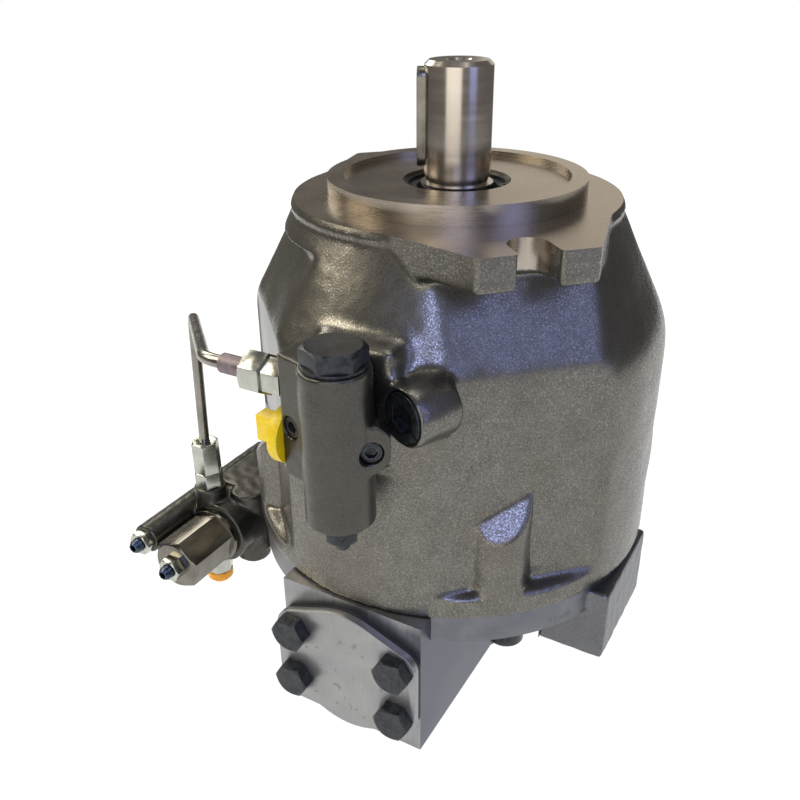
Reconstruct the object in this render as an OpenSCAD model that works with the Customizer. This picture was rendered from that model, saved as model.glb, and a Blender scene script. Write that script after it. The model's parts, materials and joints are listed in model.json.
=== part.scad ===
// Variable axial piston pump with pressure, flow and power control.
// Millimetres. The origin is the centre of the mounting face, on the shaft axis.
// +Z runs out along the shaft, -Y faces the pressure port, +Y the suction port,
// -X the control valve and +X the blank control pad.

/* [Mounting flange] */
// Diameter of the locating pilot
pilot_d = 125; // [115:1:130]
// Height of the pilot above the mounting face
pilot_h = 9; // [7:0.5:11]
// Diameter of the shallow recess in the pilot's end
recess_d = 109; // [100:1:112]
// Depth of that recess
recess_depth = 3; // [2:0.5:4]
// Thickness of the flange
flange_t = 15.5; // [14:0.5:18]
// Diameter of the round part of the flange
flange_d = 151; // [148:1:154]
// Distance between the two bolt slots
bolt_spacing = 180; // [174:1:186]
// Width of a bolt slot
slot_w = 18; // [14:1:20]
// Distance from the shaft axis to the flat end of an ear
ear_reach = 102; // [99:1:106]
// Width of an ear at its end
ear_w = 52; // [46:1:58]
// Angle of the bolt slots from the pressure port
ear_angle = 45; // [40:1:50]

/* [Housing] */
// Length from the mounting face to the joint with the port plate
housing_len = 175.5; // [172:0.5:180]
// Largest diameter of the housing
body_d = 213; // [208:1:218]
// Diameter where the cone leaves the flange
neck_d = 154; // [152:1:156]
// Slope of the cone from the shaft axis
cone_angle = 26.5; // [25:0.5:28]
// Radius of the round shoulder below the cone
shoulder_r = 40; // [30:1:50]
// Diameter of the cavity
cavity_d = 184; // [182:1:188]
// Depth of the cavity's end wall below the mounting face
wall_depth = 31; // [30:0.5:31]
// Diameter of the cavity at its end wall
cavity_end_d = 160; // [156:1:166]
// Distance of the four corner flats from the shaft axis
flat_reach = 97; // [96.5:0.5:99]
// Distance of those flats' upper slopes from the shaft axis, under the flange
slope_reach = 76; // [75:0.5:78]
// Height of the round band at the joint with the port plate
band_h = 12; // [10:0.5:14]
// Radius of the joint screw columns
column_r = 13; // [12:0.5:14]
// Height of the front of the joint screw columns
column_h = 46; // [40:1:52]
// Height of the power valve's pad above the round body
pad_over = 1.5; // [1:0.5:3.5]
// Outer diameter of the drain boss
drain_boss_d = 28; // [27:0.5:30]
// Diameter of the drain plug
drain_plug_d = 22; // [20:1:23]
// Across flats of the drain plug's socket
drain_socket_af = 12; // [10:1:14]

/* [Rotating group] */
// Depth of the swash pivot below the mounting face
pivot_depth = 80; // [79:0.5:81]
// Swash angle at full stroke
swash_angle = 15; // [13:0.5:15]
// Number of pistons
piston_count = 9; // [9]
// Piston diameter
piston_d = 20; // [18:0.5:20]
// Radius of the ring of cylinder bores
bore_pitch_r = 39.3; // [39:0.1:40]
// Length of a piston below its ball centre
piston_len = 66; // [60:1:68]
// Diameter of a piston's ball
ball_d = 15; // [13:0.5:16]
// Diameter of a piston's neck
piston_neck_d = 9; // [8:0.5:9.5]
// Diameter of a slipper's sole
sole_d = 26; // [24:0.5:26.5]
// Diameter of a slipper's socket
slipper_d = 19; // [18.5:0.5:20]
// Height from a ball's centre to the slipper's sole
sole_height = 14; // [13:0.5:15]
// Thickness of a slipper's sole
sole_t = 4; // [3.5:0.25:4.5]
// Diameter of the cylinder block
block_d = 109; // [107:1:112]
// Depth of the cylinder block's upper face below the mounting face
block_depth = 100; // [99:0.5:103]
// Thickness of the bottom of the cylinder block
block_floor = 6.5; // [5:0.5:8]
// Thickness of the valve plate
valve_plate_t = 6; // [5:0.5:7]
// Diameter of the retaining ball
retainer_ball_d = 52; // [50:1:53]
// Thickness of the retaining plate
retainer_t = 4; // [3:0.25:4.5]
// Radius of the swash cradle
cradle_r = 46; // [45:0.25:46.25]
// Thickness of the cradle bearing shells
shell_t = 2.35; // [2:0.05:2.5]
// Inner edge of each cradle, from the shaft axis
cradle_inner = 30; // [29:1:32]
// Width of each cradle
cradle_w = 28; // [24:1:30]
// Diameter of the swash running face
swash_d = 120; // [116:1:122]
// Thickness of the swash disc
swash_t = 8; // [7:0.5:9]
// Distance of the control pistons from the shaft axis
control_reach = 74; // [73:0.5:75]
// Diameter of the stroking piston
stroker_d = 20; // [18:1:20]
// Length of the stroking piston below its round tip
stroker_len = 60; // [55:1:62]
// Diameter of the bias piston's rod
bias_rod_d = 14; // [12:1:14]
// Wire diameter of the bias spring
bias_wire = 3.8; // [3:0.2:4]
// Number of turns of the bias spring
bias_turns = 8; // [6:1:10]

/* [Shaft] */
// Diameter of the driven end
shaft_d = 32; // [30:1:34]
// Length of the shaft beyond the mounting face
shaft_out = 60; // [58:1:64]
// Diameter at the seal and the front bearing
seat_d = 35; // [35:0.5:36]
// Diameter through the swash and the cylinder block
core_d = 38; // [37:0.5:38.5]
// Diameter of the rear journal
journal_d = 30; // [28:1:32]
// Width of the key
key_w = 10; // [8:1:12]
// Height of the key
key_h = 8; // [7:0.5:9]
// Length of the key
key_len = 45; // [40:1:45]
// Depth of the keyway
key_depth = 4.7; // [4:0.1:5]
// Outer diameter of the front bearing
bearing_d = 62; // [61:1:64]
// Number of rollers in the front bearing
roller_count = 16; // [12:1:18]
// Diameter of the shaft seal's bore
seal_d = 52; // [50:0.5:53]
// Number of spline teeth
spline_count = 12; // [10:1:14]

/* [Port plate] */
// Diameter of the round disc
disc_d = 210; // [207:1:213]
// Thickness of the round disc
disc_t = 14.5; // [13:0.5:16]
// Depth of the port plate's foot below the mounting face
foot_depth = 254; // [253:1:257]
// Diameter of the hub below the disc
hub_d = 90; // [86:1:94]
// Width of the pressure port block
port_block_w = 78.4; // [78:0.2:84]
// Distance of the port faces from the shaft axis
port_reach = 107.7; // [106:0.1:110]
// Depth of the port axes below the mounting face
port_depth = 214; // [212:0.5:216]
// Diameter of the pressure port
pressure_bore_d = 32; // [28:1:34]
// Long spacing of the pressure port bolts
pressure_pitch_x = 58.7; // [56:0.1:60]
// Short spacing of the pressure port bolts
pressure_pitch_z = 30.2; // [28:0.1:32]
// Diameter of the suction port
suction_bore_d = 50; // [46:1:50]
// Long spacing of the suction port bolts
suction_pitch_x = 77.8; // [76:0.1:78]
// Short spacing of the suction port bolts
suction_pitch_z = 42.9; // [41:0.1:44]
// Width of the suction port block
suction_block_w = 104; // [100:1:108]
// Distance of the blank side pad's face from the shaft axis
blank_reach = 107; // [105:0.5:108]
// Front edge of the blank side pad from the shaft axis
blank_front = 40; // [38:1:42]
// Back edge of the blank side pad from the shaft axis
blank_back = 25; // [22:1:28]
// Depth of the blank side pad's underside below the joint
blank_h = 43; // [40:1:46]
// Distance of the control valve's pad from the shaft axis
side_reach = 110; // [108:0.5:111]
// Width of the control valve's pad
side_w = 60; // [56:1:62]
// Height of the control valve's pad
valve_pad_h = 62; // [58:1:66]
// Diameter of the joint screws
joint_screw_d = 12; // [10:1:12]
// Radius of the ring of joint screws
joint_ring_r = 90; // [89:0.5:91]

/* [Pressure cover] */
// Thickness of the cover's gasket
gasket_t = 3; // [2:0.5:4]
// Thickness of the cover
cover_t = 4; // [3:0.5:6]
// Radius of the cover's belly
cover_belly_r = 35; // [32:0.5:37]
// Radius of the cover's corners
cover_corner_r = 10.5; // [9:0.5:11]
// Diameter of the cover's bolts
cover_bolt_d = 10; // [8:1:10]
// Across flats of the cover's bolts
cover_bolt_af = 17; // [15:1:18]
// Height of the cover bolts' heads
cover_bolt_h = 6.4; // [5.5:0.1:7]

/* [Power valve] */
// Distance of the valve's column from the shaft axis, to the right
power_x = 11; // [9:1:13]
// Distance of the valve's column from the pad's face
power_out = 19; // [18:0.5:21]
// Diameter of the valve's column
power_tube_d = 30; // [29:0.5:31]
// Depth of the valve's top below the mounting face
power_top = 39; // [38:0.5:42]
// Depth of the column's lower end below the mounting face
power_bottom = 115; // [112:1:118]
// Depth of the lower edge of the valve's left block
power_low = 95; // [93:0.5:97]
// Left face of the valve from the shaft axis
power_left = 16; // [15.5:0.5:17]
// Front edge of the left block from the pad's face
power_left_out = 20.4; // [20:0.1:21]
// Across flats of the top plug
power_plug_af = 24; // [22:1:25]
// Height of the top plug
power_plug_h = 9; // [7:0.5:11]
// Depth of the tube port below the mounting face
tube_port_depth = 54; // [53:0.5:56]
// Depth of the winged plug below the mounting face
wing_depth = 80; // [79:0.5:82]
// Diameter of the winged plug
wing_d = 27; // [26:0.5:27.5]
// Thickness of the winged plug's disc
wing_t = 6; // [5:0.5:7]

/* [Control valve] */
// Distance of the pressure spool from the shaft axis
press_x = 130; // [129:0.5:132]
// Depth of the pressure spool below the mounting face
press_depth = 212; // [210:0.5:214]
// Distance of the flow spool from the shaft axis
flow_x = 155.5; // [155.5:0.5:157]
// Depth of the flow spool below the mounting face
flow_depth = 205; // [204:0.5:206]
// Diameter of the pressure spool
press_spool_d = 10; // [9:0.5:11]
// Diameter of the flow spool
flow_spool_d = 8; // [7:0.5:8.5]
// Front face of the valve body from the shaft axis
valve_front = 57; // [56:0.5:59]
// Back face of the valve body from the shaft axis, on the other side
valve_back = 25; // [23:1:27]
// Diameter of the pressure barrel of the body
press_barrel_d = 40; // [38:1:42]
// Diameter of the flow barrel of the body
flow_barrel_d = 18; // [17:0.5:18]
// Length of the flow barrel in front of the shaft axis
flow_barrel_front = 90; // [88:0.5:92]
// Across flats of the spring cap
cap_af = 28; // [26:1:30]
// Length of the spring cap's hexagon
cap_len = 37; // [35:0.5:39]
// Diameter of the spring cap's collar
cap_collar_d = 34; // [33:0.5:34]
// Diameter of the adjusting screws
adjuster_d = 8; // [6:0.5:8]
// Across flats of the lock nuts
nut_af = 13; // [12:0.5:14]
// Height of the lock nuts
nut_h = 6; // [5:0.5:7]
// Reach of an adjusting screw past its lock nut
adjuster_out = 4.5; // [4:0.5:7]
// Radius of the screw column at the front corner
corner_r = 10.5; // [9.5:0.5:11.5]

/* [Pilot tube] */
// Outer diameter of the tube
tube_d = 6; // [5:0.5:7]
// Wall of the tube
tube_wall = 1; // [0.75:0.25:1.5]
// Bend radius at the middle of the tube
tube_bend = 15; // [13:0.5:18]
// Distance of the riser from the shaft axis, to the left
riser_x = 138.5; // [138:0.5:140]
// Distance of the riser from the shaft axis, to the front
riser_y = 49; // [48:0.5:50]
// Depth of the corner at the riser's top below the mounting face
riser_top = 73; // [70:1:76]
// Across flats of the couplings
coupling_af = 15; // [14:0.5:16]
// Length of a coupling's hexagon
coupling_len = 10; // [8:0.5:12]
// Across flats of the lower tube nut
tube_nut_af = 14.5; // [14:0.5:16]
// Length of the lower tube nut
tube_nut_len = 20; // [18:0.5:22]
// Across flats of the upper tube nut
upper_nut_af = 17; // [16:0.5:18]
// Length of the upper tube nut
upper_nut_len = 11; // [10:0.5:13]
// Diameter of the sleeve on the tube
sleeve_d = 9; // [8.5:0.5:10]
// Length of the sleeve on the tube
sleeve_len = 14; // [12:0.5:16]

/* [Fits] */
// Clearance round what turns or slides
run_gap = 0.15; // [0.12:0.01:0.2]
// Clearance under the tips of the control pistons
tip_gap = 0.5; // [0.45:0.05:0.6]
// Overlap that joins shapes of one casting
weld = 1; // [0.5:0.1:2]

/* [Hidden] */
$fn = 64;

pivot_z = -pivot_depth;
joint_z = -housing_len;
foot_z = -foot_depth;
pad_reach = body_d / 2 + pad_over;
power_reach = pad_reach + power_out;
power_left_reach = pad_reach + power_left_out;
port_z = -port_depth;

// The ball ring is a little wider than the bore ring, so that the drift of the
// balls across the bores is shared between no stroke and full stroke.
ball_pitch_r = 2 * bore_pitch_r / (1 + cos(swash_angle));
ball_drift = ball_pitch_r - bore_pitch_r;
bore_d = piston_d + 2 * (ball_drift + run_gap);
piston_step = 360 / piston_count;

valve_plate_z = joint_z + valve_plate_t;
block_bottom_z = valve_plate_z + run_gap;
block_top_z = -block_depth;

// Front bearing: the rollers' axes lie on a cone that widens away from the flange.
roller_angle = 12;
roller_mid = [(seat_d + bearing_d) / 4, -19.5];
roller_half = 7;
roller_r = (bearing_d - seat_d) / 4 - 3.35;
roller_taper = 0.045;
race_half = 9.2;
function roller_radius(t) = roller_r + roller_taper * t;
function race(t, side, gap) =
    roller_mid
    + t * [sin(roller_angle), -cos(roller_angle)]
    + side * (roller_radius(t) + gap) * [cos(roller_angle), sin(roller_angle)];
cup_top_z = race(-race_half, 1, run_gap)[1];
cone_bottom_z = race(race_half, -1, run_gap)[1];
cone_top_z = race(-race_half, -1, run_gap)[1];

// Control pistons: their round tips follow the swash arms at both ends of the travel.
tip_r = 8;
sole_plane = sole_height + run_gap;
function tip_z(side, tilt) =
    pivot_z + (sole_plane - tip_r - tip_gap - side * control_reach * sin(tilt)) / cos(tilt);
stroker_rest_z = tip_z(-1, -swash_angle);
bias_rest_z = tip_z(1, -swash_angle);

power_y = -power_reach;
valve_y = -valve_front;
cap_front_y = valve_y - cap_len;
flow_front_y = -flow_barrel_front;
coupling_top_z = -183.5;
tube_nut_top_z = coupling_top_z + coupling_len + tube_nut_len;

steel = "silver";
dark_steel = "dimgray";
cast = "gray";
black = "black";

// Helpers

// Curves that would only touch are kept this far apart, so that they cross cleanly
hair = 0.02;

module to_front() { rotate([90, 0, 0]) children(); }
module to_left() { rotate([0, -90, 0]) children(); }
module on_slots() { rotate([0, 0, -90 + ear_angle]) children(); }
module hex(af, h) { cylinder(d = af / cos(30), h = h, $fn = 6); }

// Hexagon whose far end is turned to a cone, as on a bolt head or nut
module turned_hex(af, h) {
    intersection() {
        hex(af, h);
        cylinder(h = h, r1 = af / 2 + h * sqrt(3), r2 = af * 0.48);
    }
}

module socket_screw(d, length, head_h) {
    difference() {
        union() {
            cylinder(d = d * 1.5, h = head_h);
            translate([0, 0, -length]) cylinder(d = d, h = length + weld);
        }
        translate([0, 0, head_h * 0.45]) hex(d * 0.8, head_h);
    }
}

// Ring sector spanned by the kidney ports, with round ends
module kidney(radius, width, half_angle, depth) {
    linear_extrude(depth) {
        intersection() {
            difference() {
                circle(radius + width / 2);
                circle(radius - width / 2);
            }
            polygon(concat([[0, 0]], [for (s = [-1, -0.5, 0, 0.5, 1])
                2 * radius * [cos(s * half_angle), sin(s * half_angle)]]));
        }
        for (s = [-1, 1]) rotate(s * half_angle) translate([radius, 0]) circle(d = width - hair);
    }
}

// Round wire wound into a spring along +Z, ends open
module spring(mean_r, wire_d, turns, length) {
    sides = 6;
    per_turn = 10;
    rings = turns * per_turn;
    rise = length - wire_d;
    lead = atan2(rise / turns, 2 * PI * mean_r);
    function wire_point(ring, side) =
        let (turn = ring * 360 / per_turn,
             around = side * 360 / sides,
             out = cos(around) * wire_d / 2,
             up = sin(around) * wire_d / 2,
             tangent = [-sin(turn), cos(turn), 0],
             across = -sin(lead) * tangent + [0, 0, cos(lead)])
        [(mean_r + out) * cos(turn), (mean_r + out) * sin(turn), wire_d / 2 + rise * ring / rings]
        + up * across;
    points = [for (ring = [0:rings], side = [0:sides - 1]) wire_point(ring, side)];
    faces = concat(
        [[for (side = [0:sides - 1]) side]],
        [for (ring = [0:rings - 1], side = [0:sides - 1])
            let (a = ring * sides + side,
                 b = ring * sides + (side + 1) % sides)
            each [[a, a + sides, b], [b, a + sides, b + sides]]],
        [[for (side = [sides - 1:-1:0]) rings * sides + side]]);
    polyhedron(points, faces, convexity = 10);
}

// Round bar through a list of points, with a true round bend at every corner between
function unit(v) = v / norm(v);
module bar_straight(from, to, d) {
    along = to - from;
    length = norm(along);
    translate(from)
        rotate([0, acos(along[2] / length), atan2(along[1], along[0])])
            cylinder(d = d, h = length);
}
module bar_corner(start, heading, turned, bend, d) {
    angle = acos(heading * turned);
    inward = unit(turned - (heading * turned) * heading);
    centre = start + bend * inward;
    outward = -inward;
    normal = cross(outward, heading);
    multmatrix([[outward[0], heading[0], normal[0], centre[0]],
                [outward[1], heading[1], normal[1], centre[1]],
                [outward[2], heading[2], normal[2], centre[2]],
                [0, 0, 0, 1]])
        rotate_extrude(angle = angle) translate([bend, 0]) circle(d = d);
}
// The straights run a little into the bends and are a hair thinner, so that no faces coincide
module bent_bar(points, bend, d, over) {
    into = 0.4;
    last = len(points) - 1;
    headings = [for (i = [0:last - 1]) unit(points[i + 1] - points[i])];
    setbacks = [for (i = [0:last]) i == 0 || i == last
        ? 0 : bend * tan(acos(headings[i - 1] * headings[i]) / 2)];
    trims = [for (i = [0:last]) i == 0 || i == last ? -over : setbacks[i] - into];
    for (i = [0:last - 1])
        bar_straight(points[i] + trims[i] * headings[i],
                     points[i + 1] - trims[i + 1] * headings[i], d - hair);
    for (i = [1:last - 1])
        bar_corner(points[i] - setbacks[i] * headings[i - 1], headings[i - 1], headings[i], bend, d);
}

// Mounting flange and housing

module flange_outline() {
    corner = [ear_reach, ear_w / 2];
    reach = norm(corner);
    tangent_r = flange_d / 2 - hair;
    touch = atan2(corner[1], corner[0]) + acos(tangent_r / reach);
    tangent = tangent_r * [cos(touch), sin(touch)];
    difference() {
        union() {
            circle(d = flange_d);
            polygon([corner, tangent, [-tangent[0], tangent[1]], [-corner[0], corner[1]],
                     -corner, -tangent, [tangent[0], -tangent[1]], [corner[0], -corner[1]]]);
        }
        for (s = [-1, 1]) {
            translate([s * bolt_spacing / 2, 0]) circle(d = slot_w);
            translate([s * (bolt_spacing / 2 + ear_reach / 2), 0])
                square([ear_reach, slot_w], center = true);
        }
    }
}

module housing_profile() {
    body_r = body_d / 2;
    slope = tan(cone_angle);
    // The shoulder arc touches the cone and the cylinder
    touch_r = body_r - shoulder_r + shoulder_r * cos(cone_angle);
    touch_z = -(touch_r - neck_d / 2) / slope;
    centre_z = touch_z - shoulder_r * sin(cone_angle);
    polygon([[0, 0], [neck_d / 2, 0], [touch_r, touch_z], [body_r, centre_z],
             [body_r, joint_z], [0, joint_z]]);
    translate([body_r - shoulder_r, centre_z]) circle(shoulder_r);
}

module at_corners() {
    for (a = [0:90:270]) rotate([0, 0, a + 45]) children();
}

// Space outside the four flats: upright below, leaning in towards the flange above
module corner_cuts() {
    lean = 30;
    far = body_d;
    slope_z = -flange_t - (flat_reach - slope_reach) / tan(lean);
    ramp = 45;
    low_z = joint_z + band_h + (body_d / 2 - flat_reach) * tan(ramp);
    at_corners() translate([0, far / 2, 0]) to_front() linear_extrude(far)
        polygon([[slope_reach, -flange_t], [flat_reach, slope_z], [flat_reach, low_z],
                 [far, low_z - (far - flat_reach) * tan(ramp)], [far, -flange_t]]);
}

module housing_columns() {
    lean = 70;
    turn = -30;
    at_corners() translate([joint_ring_r, 0, joint_z]) difference() {
        translate([0, 0, weld]) cylinder(r = column_r, h = 2 * column_h);
        rotate([0, 0, turn]) translate([column_r, 0, column_h]) rotate([0, lean, 0])
            translate([-4 * column_h, -2 * column_r, 0]) cube([8 * column_h, 4 * column_r, 4 * column_h]);
    }
}

module power_pad() {
    translate([-power_left, -pad_reach, -power_low])
        cube([power_left + power_x + power_tube_d / 2, pad_reach - cavity_d / 2 + weld * 10,
              power_low - power_top]);
}

drain_azimuth = -112;
drain_face_r = body_d / 2 + 13.2;
drain_face_turn = -74.1;
drain_face = [drain_face_r * cos(drain_face_turn), drain_face_r * sin(drain_face_turn), -63];
drain_boss_len = 25;
module at_drain() {
    translate(drain_face) rotate([0, 90, drain_azimuth]) children();
}

module cavity() {
    taper_z = -60;
    rotate_extrude() polygon([[0, -wall_depth], [cavity_end_d / 2, -wall_depth],
        [cavity_d / 2, taper_z], [cavity_d / 2, joint_z - weld], [0, joint_z - weld]]);
}

saddle_bottom = 36;
saddle_half = 38;
module saddles() {
    for (s = [-1, 1])
        difference() {
            translate([-saddle_half, s > 0 ? cradle_inner - weld : -cradle_inner - cradle_w - weld,
                       pivot_z + saddle_bottom])
                cube([2 * saddle_half, cradle_w + 2 * weld,
                      -wall_depth - pivot_z - saddle_bottom + weld]);
            translate([0, 0, pivot_z]) to_front()
                cylinder(r = cradle_r + run_gap + shell_t, h = 4 * cradle_w + 2 * cradle_inner,
                         center = true);
        }
}

joint_screw_grip = 24;
module housing() {
    color(cast) {
        difference() {
            union() {
                cylinder(d = pilot_d, h = pilot_h);
                on_slots() translate([0, 0, -flange_t]) linear_extrude(flange_t) flange_outline();
                difference() {
                    rotate_extrude() housing_profile();
                    on_slots() for (s = [-1, 1])
                        translate([s * bolt_spacing / 2, 0, -flange_t])
                            cylinder(d = slot_w, h = flange_t + weld);
                    corner_cuts();
                }
                housing_columns();
                power_pad();
                at_drain() translate([0, 0, -drain_boss_len])
                    cylinder(d = drain_boss_d, h = drain_boss_len);
            }
            difference() {
                cavity();
                at_corners() translate([joint_ring_r, 0, joint_z - weld])
                    cylinder(r = column_r - 1, h = joint_screw_grip + 2 * weld + 4);
            }
            translate([0, 0, pilot_h - recess_depth]) cylinder(d = recess_d, h = recess_depth + weld);
            translate([0, 0, cup_top_z]) cylinder(d = seal_d, h = pilot_h - cup_top_z);
            translate([0, 0, -wall_depth - weld])
                cylinder(d = bearing_d, h = wall_depth + weld + cup_top_z);
            translate([0, 0, circlip_z]) cylinder(d = circlip_groove_d, h = circlip_t);
            at_corners() translate([joint_ring_r, 0, joint_z - weld])
                cylinder(d = joint_screw_d, h = joint_screw_grip + weld);
            at_drain() translate([0, 0, -drain_depth]) cylinder(d = drain_plug_d, h = drain_depth + weld);
            at_power_screws() translate([0, 0, -power_screw_reach - power_screw_grip])
                cylinder(d = power_screw_d, h = power_screw_reach + power_screw_grip);
        }
        saddles();
    }
}

drain_depth = 12;
drain_plug_sunk = 1.5;
module drain_plug() {
    color(black) at_drain() difference() {
        translate([0, 0, -drain_depth]) cylinder(d = drain_plug_d, h = drain_depth - drain_plug_sunk);
        translate([0, 0, -drain_depth / 2]) hex(drain_socket_af, drain_depth);
    }
}

// Shaft seal and its circlip

seal_h = 8;
circlip_t = 1.6;
circlip_w = 4;
circlip_groove_d = seal_d + 3;
circlip_z = pilot_h - recess_depth - 2 * circlip_t;
seal_z = circlip_z - seal_h;
module shaft_seal() {
    lip = 2;
    color(black) translate([0, 0, seal_z]) rotate_extrude()
        polygon([[seat_d / 2 + run_gap, 0], [seal_d / 2, 0], [seal_d / 2, seal_h],
                 [seat_d / 2 + lip, seal_h], [seat_d / 2 + lip, 2 * lip],
                 [seat_d / 2 + run_gap, lip]]);
}
module seal_circlip() {
    gap = 12;
    hole = 2.2;
    lug_r = 3.4;
    mid_r = circlip_groove_d / 2 - circlip_w;
    color(dark_steel) translate([0, 0, circlip_z]) linear_extrude(circlip_t) difference() {
        union() {
            difference() {
                circle(d = circlip_groove_d);
                circle(mid_r);
                rotate(-gap) translate([0, -gap]) square([circlip_groove_d, 2 * gap]);
            }
            for (s = [-1, 1]) rotate(-gap + s * 2.1 * gap) translate([mid_r, 0]) circle(lug_r);
        }
        for (s = [-1, 1]) rotate(-gap + s * 2.1 * gap) translate([mid_r, 0]) circle(d = hole);
    }
}

// Front taper roller bearing and rear bush

module front_bearing_cup() {
    top = race(-race_half, 1, run_gap);
    bottom = race(race_half, 1, run_gap);
    color(steel) rotate_extrude()
        polygon([[bearing_d / 2, top[1]], top, bottom, [bearing_d / 2, bottom[1]]]);
}
module front_bearing_cone() {
    top = race(-race_half, -1, run_gap);
    bottom = race(race_half, -1, run_gap);
    color(steel) rotate_extrude()
        polygon([[seat_d / 2, top[1]], top, bottom, [seat_d / 2, bottom[1]]]);
}
module roller(extra) {
    translate([roller_mid[0], 0, roller_mid[1]]) rotate([0, 180 - roller_angle, 0])
        translate([0, 0, -roller_half - extra])
            cylinder(h = 2 * (roller_half + extra), r1 = roller_radius(-roller_half) + extra,
                     r2 = roller_radius(roller_half) + extra);
}
module front_rollers() {
    cage_half = 8.4;
    cage_t = 1.2;
    function cage_edge(t, side) = roller_mid + t * [sin(roller_angle), -cos(roller_angle)]
        + side * cage_t / 2 * [cos(roller_angle), sin(roller_angle)];
    color(steel) {
        for (i = [1:roller_count]) rotate([0, 0, i * 360 / roller_count]) roller(0);
        difference() {
            rotate_extrude() polygon([cage_edge(-cage_half, -1), cage_edge(-cage_half, 1),
                cage_edge(cage_half, 1), cage_edge(cage_half, -1)]);
            for (i = [1:roller_count]) rotate([0, 0, i * 360 / roller_count]) roller(run_gap);
        }
    }
}

bush_len = 24;
bush_wall = 3.5;
bush_top_z = joint_z - 6;
module rear_bush() {
    color("peru") translate([0, 0, bush_top_z - bush_len]) difference() {
        cylinder(d = journal_d + 2 * (run_gap + bush_wall), h = bush_len);
        translate([0, 0, -weld]) cylinder(d = journal_d + 2 * run_gap, h = bush_len + 2 * weld);
    }
}

// Drive shaft and key

key_end = 3;
key_angle = 206;
shaft_end_z = bush_top_z - bush_len - 3;
module key_outline() {
    translate([-(key_len - key_w) / 2, -key_w / 2]) square([key_len - key_w, key_w]);
    for (s = [-1, 1]) translate([s * (key_len - key_w) / 2, 0]) circle(d = key_w);
}
module at_key() {
    rotate([0, 0, key_angle]) translate([shaft_d / 2 - key_depth, 0, shaft_out - key_end - key_len / 2])
        rotate([0, 90, 0]) children();
}

shaft_chamfer = 2;
centre_hole_d = 8.4;
centre_hole_depth = 22;
centre_mouth_d = 12;
groove_w = 3;
groove_depth = 1;
collar_z = 5;
shoulder_over = 3;
shoulder_w = 4;
journal_top_z = valve_plate_z + 2;
spline_w = 4;
spline_h = 2;
spline_top_z = block_top_z - 6;
spline_bottom_z = block_top_z - 40;
module splines(extra) {
    for (i = [1:spline_count]) rotate([0, 0, i * 360 / spline_count])
        translate([core_d / 2 - spline_h, -spline_w / 2 - extra, spline_bottom_z])
            cube([2 * spline_h + extra, spline_w + 2 * extra, spline_top_z - spline_bottom_z]);
}
module drive_shaft() {
    r = shaft_d / 2;
    color(steel) difference() {
        union() {
            rotate_extrude() polygon([
                [0, shaft_out], [r - shaft_chamfer, shaft_out], [r, shaft_out - shaft_chamfer],
                [r, collar_z + groove_w], [r - groove_depth, collar_z + groove_w],
                [r - groove_depth, collar_z], [seat_d / 2, collar_z], [seat_d / 2, cone_bottom_z],
                [core_d / 2 + shoulder_over, cone_bottom_z],
                [core_d / 2 + shoulder_over, cone_bottom_z - shoulder_w],
                [core_d / 2, cone_bottom_z - shoulder_w], [core_d / 2, journal_top_z],
                [journal_d / 2, journal_top_z], [journal_d / 2, shaft_end_z + shaft_chamfer],
                [journal_d / 2 - shaft_chamfer, shaft_end_z], [0, shaft_end_z]]);
            splines(0);
        }
        at_key() linear_extrude(key_h) key_outline();
        translate([0, 0, shaft_out - centre_hole_depth])
            cylinder(d = centre_hole_d, h = centre_hole_depth + weld);
        translate([0, 0, shaft_out - (centre_mouth_d - centre_hole_d) / 2])
            cylinder(d1 = centre_hole_d, d2 = centre_mouth_d + 2 * weld,
                     h = (centre_mouth_d - centre_hole_d) / 2 + weld);
    }
}
module shaft_key() {
    color(dark_steel) at_key() linear_extrude(key_h) key_outline();
}

// Cylinder block, valve plate and retaining ball

block_port_w = 8;
block_port_len = 15;
block_chamfer = 3;
module cylinder_block() {
    r = block_d / 2;
    color("lightsteelblue") difference() {
        rotate_extrude() polygon([[core_d / 2, block_top_z], [r - block_chamfer, block_top_z],
            [r, block_top_z - block_chamfer], [r, block_bottom_z + block_chamfer],
            [r - block_chamfer, block_bottom_z], [core_d / 2, block_bottom_z]]);
        for (i = [0:piston_count - 1]) rotate([0, 0, i * piston_step]) translate([bore_pitch_r, 0, 0]) {
            translate([0, 0, block_bottom_z + block_floor])
                cylinder(d = bore_d, h = block_top_z - block_bottom_z - block_floor + weld);
            translate([0, 0, block_bottom_z - weld]) linear_extrude(block_floor + 2 * weld) {
                square([block_port_w, block_port_len - block_port_w], center = true);
                for (s = [-1, 1]) translate([0, s * (block_port_len - block_port_w) / 2])
                    circle(d = block_port_w);
            }
        }
        splines(run_gap);
        translate([0, 0, block_bottom_z - weld])
            cylinder(d = core_d, h = block_top_z - block_bottom_z + 2 * weld);
    }
}

kidney_w = 9;
kidney_half = 62;
module valve_plate() {
    color("goldenrod") translate([0, 0, joint_z]) difference() {
        cylinder(d = block_d - 2, h = valve_plate_t);
        translate([0, 0, -weld]) cylinder(d = core_d + 4, h = valve_plate_t + 2 * weld);
        for (s = [-1, 1]) translate([0, 0, -weld]) rotate([0, 0, s * 90])
            kidney(bore_pitch_r, kidney_w, kidney_half, valve_plate_t + 2 * weld);
    }
}

ball_top = 12;
skirt_d = 46;
module retaining_ball() {
    color(steel) difference() {
        union() {
            intersection() {
                translate([0, 0, pivot_z]) sphere(d = retainer_ball_d);
                translate([0, 0, pivot_z - ball_top]) cylinder(d = retainer_ball_d + weld, h = 2 * ball_top);
            }
            translate([0, 0, block_top_z]) cylinder(d = skirt_d, h = pivot_z - block_top_z);
        }
        translate([0, 0, block_top_z - weld])
            cylinder(d = core_d, h = pivot_z - block_top_z + 2 * ball_top);
    }
}

// Pistons and slippers

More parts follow.
